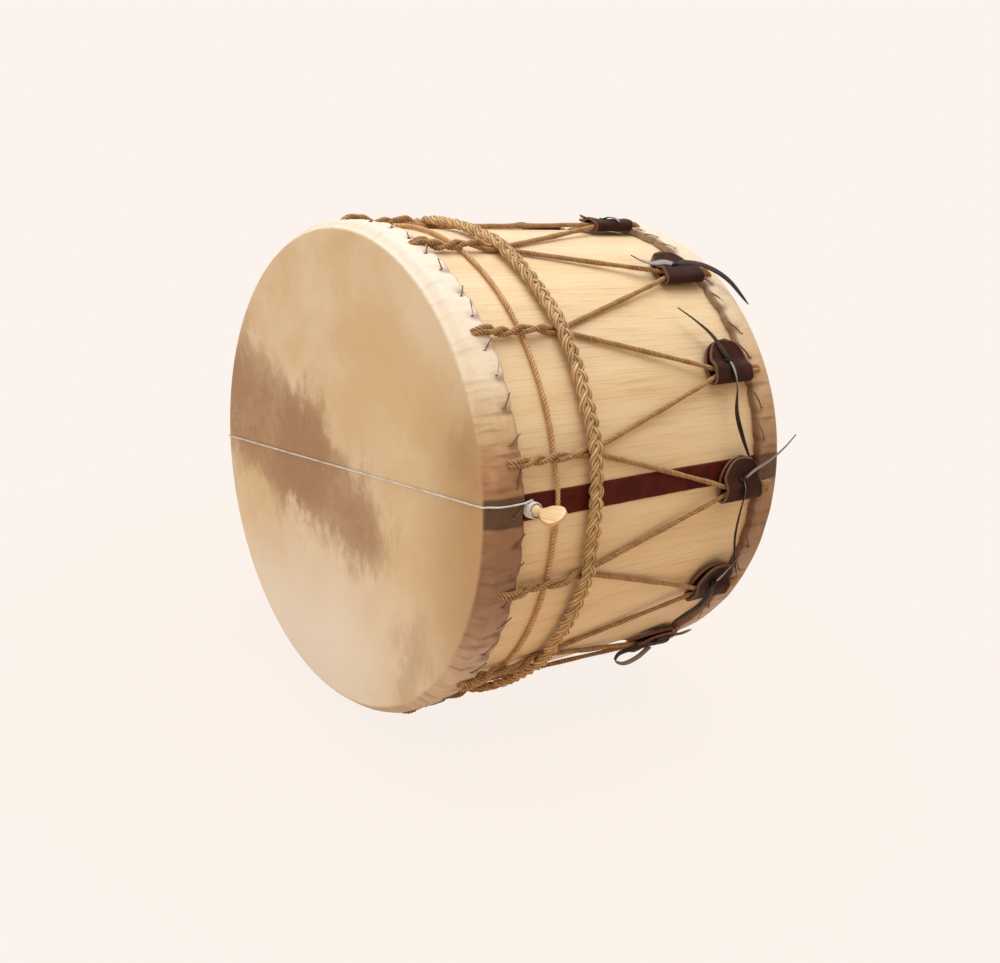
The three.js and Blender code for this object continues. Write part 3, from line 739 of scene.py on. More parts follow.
# Heads: skin drawn over the edge and flared to the flesh hoop, lapped and stitched behind it
headSizes = {
    "faceRings": (0.02, 12, 30, 50, 70, 90, 110, 130, 150, 168, 182, 192, 197),
    "flatTo": 190.0,
    "edgeRound": 3.0,
    "edgeCentre": (198.4, 3.0),
    "edgeTurn": 68.0,
    "flareEnd": 10.5,
    "segments": 624,
    "stitches": 52,
    "stitchSetback": 24.5,
    "stitchWander": 0.18,
    "edgeWave": 1.5,
    "fray": 0.8,
    "pucker": 1.0,
    "ridge": 0.35,
    "lump": 0.9,
    "holdWidth": 0.16,
    "foldWidth": 5.5,
    "holeShade": 0.9,
    "shadeWidth": 0.13,
    "lip": (28.5, 32.5),
    "lipShade": (0.65, 0.95),
}
stitchPitch = 360 / headSizes["stitches"]


def firstStitch(atRear):
    return drum["firstTie"] + (tiePitch / 2 if atRear else 0) + stitchPitch / 2


def headProfile():
    radius, setback = headSizes["edgeCentre"]
    edge = headSizes["edgeRound"]
    outer = drum["collarOuter"]
    back = drum["collarBack"]
    profile = [(r, 0.0) for r in headSizes["faceRings"]]
    for k in range(9):
        turn = k / 8 * radians(headSizes["edgeTurn"])
        profile.append((radius + edge * sin(turn), setback - edge * cos(turn)))
    lastRadius, lastSetback = profile[-1]
    for k in range(1, 8):
        share = k / 7
        swell = lerp(share, smoothstep(0, 1, share) ** 0.8, 0.7)
        profile.append((lerp(lastRadius, outer, swell), lerp(lastSetback, headSizes["flareEnd"], share)))
    profile += [(outer, lerp(headSizes["flareEnd"], back - 1.2, k / 12)) for k in range(1, 13)]
    profile += [(outer - 0.5, back - 0.4), (outer - 1.5, back), (203.5, back), (200.6, back - 0.3)]
    return profile


def makeHead(name, node, material, atRear, seed):
    profile = headProfile()
    flareFrom = len(headSizes["faceRings"]) + 7

    def pull(angle):
        place = (angle - firstStitch(atRear)) / stitchPitch
        return (place + headSizes["stitchWander"] * rough(seed, round(place) * 3.7) + 0.5) % 1 - 0.5

    def shape(angle, k, radius, setback):
        if radius < headSizes["flatTo"] and setback == 0:
            return radius, fromEnd(setback, atRear)
        turn = radians(angle)
        off = pull(angle)
        hold = bell(off, headSizes["holdWidth"])
        collar = smoothstep(3, 14, setback) if k > flareFrom else 0
        fold = collar * bell(setback - headSizes["stitchSetback"], headSizes["foldWidth"])
        radius += collar * headSizes["lump"] * rough(seed, cos(turn) * 9, sin(turn) * 9, setback / 22)
        radius += fold * (headSizes["ridge"] * bell(abs(off) - 0.3, 0.14) - headSizes["pucker"] * hold)
        fray = headSizes["fray"] * roughRound(seed + 2, angle, 40)
        setback += smoothstep(16, 31, setback) * (headSizes["edgeWave"] * (0.5 - hold) + fray)
        return radius, fromEnd(setback, atRear)

    side = [smoothstep(198.2, 201.0, radius) if setback < 20 else 1.0 for radius, setback in profile]
    # The shadow mark: painted shade along the collar's lip, where it meets the shell, and round each stitch
    # hole, where it is partly painted shade in the puckers and partly brown discolouration
    shadow = []
    for angle in np.linspace(0, 360, headSizes["segments"], endpoint=False) + drum["firstTie"]:
        hold = headSizes["holeShade"] * bell(pull(angle), headSizes["shadeWidth"])
        row = []
        for radius, setback in profile:
            near = bell(setback - headSizes["stitchSetback"] - 3.5, 3.6)
            lip = headSizes["lipShade"][atRear] * smoothstep(*headSizes["lip"], setback)
            row.append(near * hold + lip if setback > 10 else 0.0)
        shadow.append(row)
    marks = {"side": side, "shadow": shadow}
    mesh = latheMesh(name, profile, headSizes["segments"], drum["firstTie"], shape, marks)
    piece = newObject(tidyMesh(mesh, merge=1e-7), material)
    return dress(piece, "head_skin", "drum", node)


makeHead("batter_head", "front_head", frontSkin, False, 1)
makeHead("snare_side_head", "rear_head", rearSkin, True, 5)
print("shell and heads made")


# Stitches through the lapped skin, one tree for both heads.
# Each is a slanted thread from its hole to the skin's edge, with a short hook at the hole.
stitchSizes = {
    "Count": headSizes["stitches"],
    "Radius": 206.9 * mm,
    "Hole": 7.0 * mm,
    "Slant": 13.0 * mm,
    "Hook": 0.6 * mm,
    "Thread": 0.5 * mm,
    "Rise": 0.6 * mm,
    "Tilt": 0.3,
    "Seed": 4,
    "Edge": 0.0,
    "Toward": 1.0,
    "Phase": 0.0,
}


def makeStitchTree():
    tree = bpy.data.node_groups.new("stitches", "GeometryNodeTree")

    def socket(label, kind, way="INPUT"):
        return tree.interface.new_socket(label, in_out=way, socket_type="NodeSocket" + kind)

    socket("Geometry", "Geometry")
    for label, value in stitchSizes.items():
        socket(label, "Int" if label in ("Count", "Seed") else "Float").default_value = value
    socket("Thread Material", "Material")
    socket("Geometry", "Geometry", "OUTPUT")
    start = wiresOf(tree, tree.nodes.new("NodeGroupInput"))
    end = tree.nodes.new("NodeGroupOutput").inputs

    def drawn(low, high, offset):
        links = {"Seed": start["Seed"] + offset, 2: low, 3: high}
        return addNode(tree, "FunctionNodeRandomValue", links, data_type="FLOAT")[1]

    def spot(*coordinates):
        return addNode(tree, "ShaderNodeCombineXYZ", dict(enumerate(coordinates)))[0]

    def turn(*angles):
        return addNode(tree, "FunctionNodeEulerToRotation", {0: spot(*angles)})[0]

    def bow(first, middle, last):
        links = {"Resolution": 10, "Start": spot(*first), "Middle": spot(*middle), "End": spot(*last)}
        return addNode(tree, "GeometryNodeCurveQuadraticBezier", links)[0]

    share = (addNode(tree, "GeometryNodeInputIndex")[0] + drawn(-0.2, 0.2, 0)) / start["Count"]
    angle = share * (2 * pi) + start["Phase"]
    across, up = [angle.maths(kind) * start["Radius"] for kind in ("SINE", "COSINE")]
    links = {"Count": start["Count"], "Position": spot(across, start["Edge"], up)}
    points = addNode(tree, "GeometryNodePoints", links)[0]
    hole = start["Hole"] * -1.0 * start["Toward"]
    lift = start["Rise"] * 2.0
    away = start["Slant"] * -1.0
    both = newNode(tree, "GeometryNodeJoinGeometry")
    last = (away, start["Toward"] * 0.0012, -0.0004)
    bow((0.0, hole, -0.0008), (away * 0.3, hole * 0.85, lift), last).into(both.inputs[0])
    last = (0.0, hole * 1.4, -0.0008)
    bow((0.0, hole, -0.0006), (start["Hook"], hole, lift), last).into(both.inputs[0])
    ring = addNode(tree, "GeometryNodeCurvePrimitiveCircle", {"Resolution": 6, "Radius": start["Thread"]})[0]
    links = {"Curve": wiresOf(tree, both)[0], "Profile Curve": ring, "Fill Caps": True}
    thread = addNode(tree, "GeometryNodeCurveToMesh", links)[0]
    lean = drawn(start["Tilt"] * -1.0, start["Tilt"], 1)
    links = {"Rotation": turn(0.0, angle, 0.0), "Rotate By": turn(0.0, 0.0, lean)}
    spin = addNode(tree, "FunctionNodeRotateRotation", links, rotation_space="LOCAL")[0]
    size = spot(drawn(0.6, 1.15, 2), drawn(0.8, 1.2, 3), 1.0)
    links = {"Points": points, "Instance": thread, "Rotation": spin, "Scale": size}
    real = addNode(tree, "GeometryNodeInstanceOnPoints", links)[0]
    real = addNode(tree, "GeometryNodeRealizeInstances", {0: real})[0]
    links = {"Geometry": real, "Material": start["Thread Material"]}
    addNode(tree, "GeometryNodeSetMaterial", links)[0].into(end[0])
    return tree


stitchTree = makeStitchTree()


def makeStitches(name, atRear, seed):
    piece = newObject(bpy.data.meshes.new(name), threadFibre)
    modifier = piece.modifiers.new("grow", "NODES")
    modifier.node_group = stitchTree
    values = dict(stitchSizes)
    values["Seed"] = seed
    values["Edge"] = (fromEnd(drum["collarBack"], atRear) - drum["headToHead"]) * mm
    values["Toward"] = -1.0 if atRear else 1.0
    values["Phase"] = radians(firstStitch(atRear) + roll)
    values["Thread Material"] = threadFibre
    for item in stitchTree.interface.items_tree:
        if item.in_out == "INPUT" and item.name in values:
            modifier[item.identifier] = values[item.name]
    return dress(applied(piece, threadFibre), "thong_leather", "drum")


makeStitches("batter_stitches", False, 4)
makeStitches("rear_stitches", True, 9)
print("stitches made")


# Tension rope: twisted pairs at the ties, legs to the tugs, bights through both collars
rope = {
    "radius": 2.2,
    "lay": 8.5,
    "step": 1.5,
    "onShell": 202.55,
    "overCollar": 209.35,
    "bightHalf": 1.0,
    "eyeHalf": 1.6,
    "eyeBack": 3.5,
    "bightSetback": 15.0,
    "bightSlope": 50.0,
    "pairGap": 2.2,
    "pairTurns": 1.0,
    "clear": 0.3,
    "legStart": 110.3,
    "legEnd": 295.5,
    "spreadInTug": 2.5,
    "settle": 10.0,
    "hug": 1.5,
}
cordSizes = {
    "setback": 67.0,
    "radius": 2.1,
    "onShell": 202.4,
    "lay": 9.0,
    "strapLift": 1.8,
    "strapAngle": 90.0,
    "strapHalf": 3.9,
    "wander": 0.9,
}
plait = {
    "setback": 104.0,
    "atTie": 207.9,
    "dip": 1.7,
    "tieSpread": 5.0,
    "crossings": 40,
    "sway": 4.2,
    "weave": 1.35,
    "strand": 2.6,
    "lay": 42.0,
    "yarns": 5,
    "yarnShare": 0.5,
    "steps": 1400,
    "sides": 20,
    "unevenPitch": 0.9,
    "unevenSway": 0.3,
    "wander": 1.1,
}
tugSizes = {
    "front": 246.5,
    "rear": 294.5,
    "shownHalf": 22.5,
    "leather": 2.2,
    "foldSide": 5.6,
    "laceSide": 4.8,
    "channelHigh": 5.1,
    "tongue": 28.0,
    "base": 203.68,
    "lace": 8.8,
}
tugMiddle = (tugSizes["front"] + tugSizes["rear"]) / 2
legRise = (rope["overCollar"] - rope["onShell"]) / (rope["legEnd"] - rope["legStart"])


def legRadius(setback):
    return rope["onShell"] + (setback - rope["legStart"]) * legRise


def bightPoints(angle, atRear):
    dive = radians(rope["bightSlope"])
    half = rope["bightHalf"]
    centreSetback = rope["bightSetback"] + half * cos(dive)
    centreRadius = rope["onShell"] + half * sin(dive)
    eye = centreSetback + (rope["overCollar"] - centreRadius) / (sin(dive) / cos(dive)) + rope["eyeBack"]
    spots = [(-rope["eyeHalf"], eye, rope["overCollar"])]
    for k in range(5):
        turn = k / 4 * pi
        depth = half * sin(turn)
        spots.append((-half * cos(turn), centreSetback - depth * cos(dive), centreRadius - depth * sin(dive)))
    spots.append((rope["eyeHalf"], eye, rope["overCollar"]))
    return [beside(angle, across, fromEnd(setback, atRear), radius) for across, setback, radius in spots]


def pairPoints(angle, phase):
    back = drum["collarBack"]
    cord = cordSizes["setback"]
    gap = rope["pairGap"]
    over = cordSizes["onShell"] + cordSizes["radius"] + rope["radius"] + rope["clear"]
    low = rope["onShell"] + gap + rope["clear"]
    axis = [
        Vector((back + 1, rope["overCollar"])),
        Vector(((back * 2 + cord) / 3, low + 0.6)),
        Vector(((back + cord * 2) / 3, low)),
        Vector((cord, over)),
    ]
    points = []
    for k in range(9):
        share = k / 8
        first = min(int(share * 3), 2)
        setback, middle = axis[first].lerp(axis[first + 1], share * 3 - first)
        turn = phase + share * rope["pairTurns"] * 2 * pi
        points.append(beside(angle, gap * cos(turn), setback, middle + gap * sin(turn)))
    for k in range(1, 5):
        share = k / 4
        setback = lerp(cord, plait["setback"] - 6, share)
        middle = lerp(over, rope["onShell"], smoothstep(0, 1, share)) + gap * sin(pi * share) ** 2
        turn = phase + rope["pairTurns"] * 2 * pi + share * pi
        points.append(beside(angle, gap * cos(turn), setback, middle + gap * sin(turn) * sin(pi * share)))
    setback = rope["legStart"] + 2
    points.append(beside(angle, gap * cos(phase + pi), setback, legRadius(setback)))
    return points


def legPoints(tieAngle, side):
    settle = tugSizes["front"] + rope["settle"]
    startAngle = tieAngle + side * degrees(rope["pairGap"] / rope["onShell"])
    endAngle = tieAngle + side * (tiePitch / 2 - degrees(rope["spreadInTug"] / legRadius(settle)))
    points = []
    for k in range(7):
        share = k / 6
        setback = lerp(rope["legStart"], settle, share)
        radius = legRadius(setback) - rope["hug"] * sin(pi * share)
        points.append(onDrum(lerp(startAngle, endAngle, share), setback, radius))
    return points + [onDrum(endAngle, tugMiddle, legRadius(tugMiddle))]


def ropeMesh(name, points):
    return laidRope(name, smoothPath(points, rope["step"]), rope["radius"], rope["lay"])


def makeTies():
    meshes = []
    for i in range(drum["ties"]):
        angle = drum["firstTie"] + i * tiePitch
        points = pairPoints(angle, pi)[::-1] + bightPoints(angle, False) + pairPoints(angle, 0)
        meshes.append(ropeMesh(f"tie{i}", points))
    piece = newObject(joinedMesh("tie_pairs", meshes), jute)
    return dress(piece, "jute_rope", "drum", "tension_rope")


def makeLegs(i):
    tieAngle = drum["firstTie"] + (i - 1) * tiePitch
    middleAngle = tieAngle + tiePitch / 2
    near = ropeMesh("near", legPoints(tieAngle, 1))
    far = ropeMesh("far", legPoints(tieAngle + tiePitch, -1))
    legs = newObject(joinedMesh(f"rope_legs_{i + 1:02d}", [near, far]), jute)
    dress(legs, "jute_rope", None, "tension_rope")
    start = onDrum(0, rope["legStart"] + 12, 0)
    tuple(onDrum(0, tugSizes["front"] - 1, 0))
    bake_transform(legs)
    inTug = degrees(rope["spreadInTug"] / legRadius(tugMiddle))
    first = [onDrum(middleAngle - inTug, s, legRadius(s)) for s in (tugMiddle, tugMiddle + 12)]
    last = [onDrum(middleAngle + inTug, s, legRadius(s)) for s in (tugMiddle + 12, tugMiddle)]
    path = first + bightPoints(middleAngle, True) + last
    rear = newObject(ropeMesh(f"rope_bight_{i + 1:02d}", path), jute)
    dress(rear, "jute_rope", None, "tension_rope")
    middle = onDrum(0, tugMiddle, 0)
    tuple(onDrum(0, tugSizes["rear"] + 6, 0))
    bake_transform(rear)


# A knot's loop seen flat: how far across and along it lies at a turn
def knotSpot(turn):
    return (sin(turn) + 2 * sin(2 * turn)) / 3, (cos(turn) - 2 * cos(2 * turn)) / 3


# The rope's two ends are tied together on the rear collar, beside the fourth tug
endKnot = {
    "angle": 94.6,
    "setback": 300.0,
    "radius": 209.8,
    "size": 5.2,
    "cord": 1.7,
    "lay": 9.0,
    "lift": 1.3,
}


def makeEndKnot():
    points = []
    for k in range(64):
        turn = k / 64 * 2 * pi
        across, along = [endKnot["size"] * part for part in knotSpot(turn)]
        radius = endKnot["radius"] - endKnot["lift"] * sin(3 * turn)
        points.append(beside(endKnot["angle"], across, endKnot["setback"] + along, radius))
    mesh = laidRope("end_knot", np.array(points), endKnot["cord"], endKnot["lay"], closed=True, sides=12)
    return dress(newObject(mesh, jute), "jute_rope", "drum", "tension_rope")


makeTies()
for number in range(drum["ties"]):
    makeLegs(number)
makeEndKnot()
print("tension rope made")


# Belt cord under the pairs, and the plaited ring that gathers the strands
def makeBeltCord():
    points = []
    for k in range(720):
        angle = k / 2
        away = abs(angle - cordSizes["strapAngle"]) - cordSizes["strapHalf"]
        radius = cordSizes["onShell"] + cordSizes["strapLift"] * (1 - smoothstep(0, 4, away))
        wander = cordSizes["wander"] * roughRound(3, angle, 2.5)
        points.append(onDrum(angle, cordSizes["setback"] + wander, radius))
    mesh = laidRope("belt_cord_laid", np.array(points), cordSizes["radius"], cordSizes["lay"], closed=True)
    return dress(newObject(mesh, cordFibre), "belt_cord", "drum", "belt_cord")


def plaitCentre(angle):
    fromTie = (angle - drum["firstTie"] + tiePitch / 2) % tiePitch - tiePitch / 2
    return plait["atTie"] - plait["dip"] * (1 - bell(fromTie, plait["tieSpread"]))


def makePlait():
    strands = []
    look = {"closed": True, "sides": plait["sides"], "strandShare": plait["yarnShare"]}
    for strand in range(3):
        points = []
        for k in range(plait["steps"]):
            angle = 360 * k / plait["steps"]
            phase = radians(angle) * plait["crossings"] + strand * 2 * pi / 3
            phase += plait["unevenPitch"] * roughRound(8, angle, 9)
            sway = plait["sway"] * (1 + plait["unevenSway"] * roughRound(strand + 11, angle, 14))
            setback = plait["setback"] + plait["wander"] * roughRound(6, angle, 2) + sway * sin(phase)
            points.append(onDrum(angle, setback, plaitCentre(angle) + plait["weave"] * sin(2 * phase)))
        sizes = (plait["strand"], plait["lay"], plait["yarns"])
        strands.append(laidRope(f"strand{strand}", np.array(points), *sizes, **look))
    piece = newObject(joinedMesh("plait_strands", strands), straw)
    return dress(piece, "jute_rope", "drum", "plaited_ring")


makeBeltCord()
makePlait()
print("cord and plait made")


# Seam strap: a thin leather band over the veneer seam
strap = {
    "half": 10.0,
    "inner": 200.25,
    "outer": 201.5,
    "under": 200.1,
    "angle": 90.0,
    "columns": 24,
    "rows": 160,
    "waver": 0.35,
    "ragged": 0.25,
    "flatTo": 0.86,
    "edgeDrop": 0.55,
}


def makeStrap():
    start = drum["collarBack"] + 0.2
    stop = drum["headToHead"] - start
    grid, edge = [], []
    for i in range(strap["rows"] + 1):
        setback = lerp(start, stop, i / strap["rows"])
        waver = strap["waver"] * rough(8, setback / 40)
        row, marks = [], []
        for j in range(strap["columns"] + 1):
            across = lerp(-1, 1, j / strap["columns"])
            half = strap["half"] + strap["ragged"] * rough(9, setback / 14, across)
            beyond = max(abs(across) - strap["flatTo"], 0) / (1 - strap["flatTo"])
            crown = 1 - beyond * strap["edgeDrop"]
            radius = lerp(strap["inner"], strap["outer"], crown)
            row.append(beside(strap["angle"], across * half + waver, setback, radius))
            marks.append(smoothstep(0.72, 1.0, abs(across)))
        for half in (strap["half"], -strap["half"]):
            angle = strap["angle"] + degrees((half + waver) / drum["shellRadius"])
            row.append(onDrum(angle, setback, strap["under"]))
        grid.append(row)
        edge.append(marks + [1.0, 1.0])
    mesh = gridMesh("strap_band", grid, False, True, marks={"edge": edge})
    piece = newObject(tidyMesh(mesh, capEnds=True), strapLeather)
    return dress(piece, "strap_leather", "drum", "seam_strap")


makeStrap()


# Tugs: a leather strip folded round the legs, its two round flaps laced together
tugLook = {
    "columns": 22,
    "step": 1.7,
    "flapLift": 1.6,
    "flapTurn": 6.0,
    "slip": 1.2,
    "mouth": 3.0,
    "curl": 0.4,
    "ragged": 0.6,
    "swell": 0.35,
    "bevel": 0.55,
    "bevelTurn": 50.0,
    "seed": 21,
}
pressedTug = drum["lowestTie"] + 1


def tugAngle(number):
    return drum["firstTie"] + (number - 0.5) * tiePitch


def tugMatrix(number):
    seat = Matrix.Rotation(radians(tugAngle(number)), 4, "Y")
    along = Matrix.Translation((0, tugMiddle - drum["headToHead"], 0))
    out = Matrix.Translation((0, 0, tugSizes["base"]))
    tilt = Matrix.Rotation(atan(legRise), 4, "X")
    return rollMatrix @ Matrix.Scale(mm, 4) @ along @ seat @ out @ tilt


def tugSpine(lift):
    fold = tugSizes["foldSide"]
    bend = -tugSizes["laceSide"]
    leather = tugSizes["leather"]
    low = leather / 2
    foldRadius = (tugSizes["channelHigh"] + leather) / 2
    middle = low + foldRadius
    top = middle + foldRadius
    tip = -tugSizes["tongue"]
    flap = low + leather + 0.4
    spots = [(tip, low), (-20, low), (-10, low), (0, low), (fold, low)]
    for k in range(1, 6):
        turn = -pi / 2 + k / 6 * pi
        spots.append((fold + foldRadius * cos(turn), middle + foldRadius * sin(turn)))
    spots += [(fold, top), (1.5, top + 0.15), (bend + 1.5, top - 0.3), (bend - 2, top - 2.6)]
    spots += [(bend - 4.5, flap + 0.4), (bend - 8, flap), (-20, flap + lift * 0.35), (tip, flap + lift)]
    return [Vector((across, 0, height)) for across, height in spots]


def makeTug(i):
    draw = random.Random(tugLook["seed"] + i)
    lift = draw.uniform(0.2, 1.0) * tugLook["flapLift"]
    turnFlap = radians(draw.uniform(-1, 1) * tugLook["flapTurn"])
    slip = draw.uniform(-tugLook["slip"], tugLook["slip"])
    spine = smoothPath(tugSpine(0 if i == pressedTug else lift), tugLook["step"] / mm)
    count = len(spine)
    reach = tugSizes["tongue"] - tugSizes["laceSide"]
    matrix = tugMatrix(i)
    grid, edge = [], []
    for k, (t, h) in enumerate(spine[:, ::2]):
        beyond = max(-t - tugSizes["laceSide"], 0) / reach
        width = tugSizes["shownHalf"] * sqrt(max(1 - min(beyond, 0.999) ** 2.3, 0.0016))
        toTip = 1 - smoothstep(0.0, 0.2, 1 - beyond)
        isFlap = k > count / 2
        row, marks = [], []
        for across in np.linspace(-1, 1, tugLook["columns"] + 1):
            x = t
            y = across * width + tugLook["ragged"] * rough(i + 30, t / 13, across * 2, k / count * 4)
            z = h + tugLook["swell"] * rough(i + 50, t / 16, across * 1.7, k / count * 3)
            if isFlap and t < 2:
                share = smoothstep(2, -14, t)
                x, y = x + turnFlap * y * share, y - turnFlap * (x + 8) * share + slip * share
            if isFlap and i != pressedTug:
                mouth = smoothstep(0.25, 1.0, -across) * smoothstep(8, -6, t) * smoothstep(-30, -14, t)
                z += tugLook["mouth"] * mouth + tugLook["curl"] * smoothstep(0.8, 1.0, across)
            row.append(matrix @ Vector((x, y, z)))
            marks.append(max(smoothstep(0.86, 1.0, abs(across)), toTip))
        grid.append(row)
        edge.append(marks)
    mesh = gridMesh(f"tug_folded_{i + 1:02d}", grid, marks={"edge": edge})
    piece = newObject(tidyMesh(mesh, merge=2e-6), tugLeather)
    wall = piece.modifiers.new("wall", "SOLIDIFY")
    wall.thickness = tugSizes["leather"] * mm
    wall.offset = 0
    bevel = piece.modifiers.new("edge", "BEVEL")
    bevel.width = tugLook["bevel"] * mm
    bevel.segments = 2
    bevel.limit_method = "ANGLE"
    bevel.angle_limit = radians(tugLook["bevelTurn"])
    applied(piece, tugLeather)
    return dress(piece, "tug_leather", f"tug_{i + 1:02d}", f"tug_{i + 1:02d}")


for number in range(drum["ties"]):
    makeTug(number)
print("tugs made")


# Laces: a thong knotted through both flaps, with two tapering tails.
# A tail is a row of spots past the knot: across towards growing angles, along to the rear, and height.
# Then how far it starts and ends turned over, in degrees, and its width. Each tug has two rows.
# One tail is a loop and does not taper.
lace = {
    "tip": 0.24,
    "thick": 1.0,
    "pressedThick": 0.7,
    "knot": (6.4, 9.0, 4.4),
    "pressedKnot": 1.4,
    "cord": 1.15,
    "pressedCord": 0.55,
    "step": 1.4,
    "loopSpots": 6,
}
laceLoop = [(-9, -14, 8), (-9, -32, 9), (-8, -48, 11), (-8, -54, 16)]
laceLoop += [(-8, -47, 20), (-8, -28, 18), (-8, -8, 11)]
laceTails = [
    ([(-12, -10, 8), (-10, -20, 10), (-8, -29, 13)], (0, 30), 6.0),
    ([(-2, 2, 11.2), (5, 4, 11), (9.5, 5.5, 8.4)], (180, 180), 8.5),
    ([(-12, -12, 8), (-10, -27, 9), (-12, -40, 11), (-17, -51, 14)], (160, 190), 6.0),
    ([(-9, 14, 9), (0, 29, 11), (17, 42, 11), (44, 52, 8)], (0, 35), 6.4),
    ([(-20, -5, 8), (-33, -12, 9), (-46, -22, 9), (-61, -34, 8)], (0, 25), 6.0),
    ([(0, -2, 11), (14, -4, 12), (35, -5, 7), (56, 2, 4), (78, 13, 3)], (180, 20), 5.6),
    ([(-16, 12, 9), (-24, 28, 12), (-33, 43, 14), (-43, 57, 15)], (185, 215), 3.4),
    ([(1, -1, 11), (20, -4, 11), (44, 1, 8), (66, 9, 9), (88, 22, 10)], (150, 60), 3.4),
    ([(-18, 5, 8), (-29, 9, 9), (-41, 13, 10)], (180, 215), 5.4),
    ([(0, -4, 11), (14, -9, 12), (29, -12, 9), (44, -17, 7)], (0, 50), 7.0),
    (laceLoop, (60, 60), 4.6),
    ([(-16, 12, 7), (-20, 25, 8), (-22, 38, 7)], (0, 70), 5.6),
    ([(-11, 12, 6.5), (-12, 24, 6.8), (-14, 36, 6.5)], (0, 0), 5.0),
    ([(-11, -14, 7), (-13, -30, 8), (-16, -46, 9)], (0, 40), 5.0),
    ([(-11, 10, 6), (-12, 21, 6), (-15, 32, 6)], (0, 0), 5.0),
    ([(-11, -12, 6), (-13, -26, 6), (-17, -40, 6)], (0, 0), 5.0),
    ([(-14, 14, 7), (-19, 28, 7.5), (-25, 42, 7)], (0, 30), 5.6),
    ([(-15, -16, 7), (-22, -34, 8), (-28, -52, 9)], (0, -40), 5.6),
    ([(0, 3, 11), (14, 6, 13), (32, 8, 13), (50, 14, 14)], (0, 50), 5.6),
    ([(-20, -8, 8), (-36, -17, 11), (-54, -28, 14)], (170, 200), 5.6),
    ([(-19, 6, 8), (-30, 12, 10), (-44, 20, 13)], (0, 60), 5.6),
    ([(0, -1, 11), (14, -3, 13), (32, -6, 14), (49, -4, 15)], (160, 40), 5.6),
    ([(-15, -12, 8), (-26, -26, 9), (-42, -42, 8)], (0, -30), 5.6),
    ([(-2, 9, 11), (6, 18, 12), (16, 30, 9)], (0, 30), 5.6),
    ([(-14, 11, 7), (-21, 22, 7), (-30, 33, 6)], (0, 20), 5.6),
    ([(-2, -8, 11), (4, -22, 12), (14, -44, 9)], (170, 190), 5.6),
]
# The thong's section: half widths and half heights, with how worn and how much flesh side each corner is
thongSection = [(-1, -0.6), (-0.96, 0.2), (-0.5, 1), (0.5, 1), (0.96, 0.2), (1, -0.6), (0.5, -1), (-0.5, -1)]
thongMarks = {
    "edge": [[1.0, 0.8, 0.1, 0.1, 0.8, 1.0, 0.1, 0.1]],
    "flesh": [[0.6, 0, 0, 0, 0, 0.6, 1.0, 1.0]],
}


def ribbonMesh(name, path, widths, thick, turned):
    high, wide = pathFrame(path)[:2]
    grid = []
    for i, twist in enumerate(np.radians(np.linspace(*turned, len(path)))):
        flat = wide[i] * cos(twist) + high[i] * sin(twist)
        up = high[i] * cos(twist) - wide[i] * sin(twist)
        grid.append([path[i] + flat * a * widths[i] / 2 + up * b * thick / 2 for a, b in thongSection])
    return tidyMesh(gridMesh(name, grid, False, True, marks=thongMarks), capEnds=True)


def makeKnot(i, flapTop, high, cord):
    sizeX, sizeY = lace["knot"][:2]
    loop = []
    for k in range(72):
        turn = k / 72 * 2 * pi
        across, along = knotSpot(turn)
        x = across * (sizeX / 2 - cord) - tugSizes["lace"]
        z = flapTop + high / 2 - sin(3 * turn) * max(high / 2 - cord, 0.15)
        loop.append((x, along * (sizeY / 2 - cord), z))
    knot = laidRope("knot", np.array(loop) * mm, cord, 30, 2, True, out=(0, 0, 1), sides=10, strandShare=0.9)
    for label in thongMarks:
        knot.attributes.new(label, "FLOAT", "POINT")
    knot.transform(tugMatrix(i) @ Matrix.Scale(1 / mm, 4))
    return knot


def makeLace(i):
    pressed = i == pressedTug
    high = lace["pressedKnot"] if pressed else lace["knot"][2]
    thick = lace["pressedThick"] if pressed else lace["thick"]
    flapTop = 2 * tugSizes["leather"] + 0.7
    meshes = [makeKnot(i, flapTop, high, lace["pressedCord"] if pressed else lace["cord"])]
    start = (-tugSizes["lace"], 0, flapTop + high * 0.55)
    for spots, turned, width in laceTails[2 * i : 2 * i + 2]:
        points = []
        for across, along, height in [start] + spots:
            radius = tugSizes["base"] + height + along * legRise
            points.append(beside(tugAngle(i), across, tugMiddle + along, radius))
        path = smoothPath(points, lace["step"])
        share = np.linspace(0, 1, len(path))
        widths = width * mm * np.minimum(1, 0.5 + share * 4)
        if len(spots) < lace["loopSpots"]:
            widths = widths * (1 - (1 - lace["tip"]) * share**2.4)
            widths = widths * np.minimum(1, np.sqrt((1.03 - share) / 0.12))
        meshes.append(ribbonMesh("tail", path, widths, thick * mm, turned))
    piece = newObject(joinedMesh(f"lace_{i + 1:02d}", meshes), thongLeather)
    return dress(piece, "thong_leather", f"tug_{i + 1:02d}", f"tug_lace_{i + 1:02d}")


for number in range(drum["ties"]):
    makeLace(number)
print("laces made")


# Snare peg: a turned shank and a flat thumb-piece, lofted from sections along the peg
peg = {
    "setback": 39.0,
    "turn": 35.0,
    "sides": 48,
    "sections": [
        (179.0, 3.4, 3.4),
        (200.0, 4.5, 4.5),
        (212.0, 4.5, 4.5),
        (214.5, 3.5, 3.5),
        (217.0, 2.9, 2.9),
        (219.0, 3.6, 2.9),
        (222.0, 5.8, 2.6),
        (226.0, 7.8, 2.3),
        (231.0, 9.0, 2.1),
        (235.5, 8.6, 2.0),
        (238.7, 6.8, 1.9),
        (240.7, 4.5, 1.7),
        (241.8, 1.5, 1.0),
    ],
}


def signedPower(value, power):
    return abs(value) ** power * (1 if value > 0 else -1)


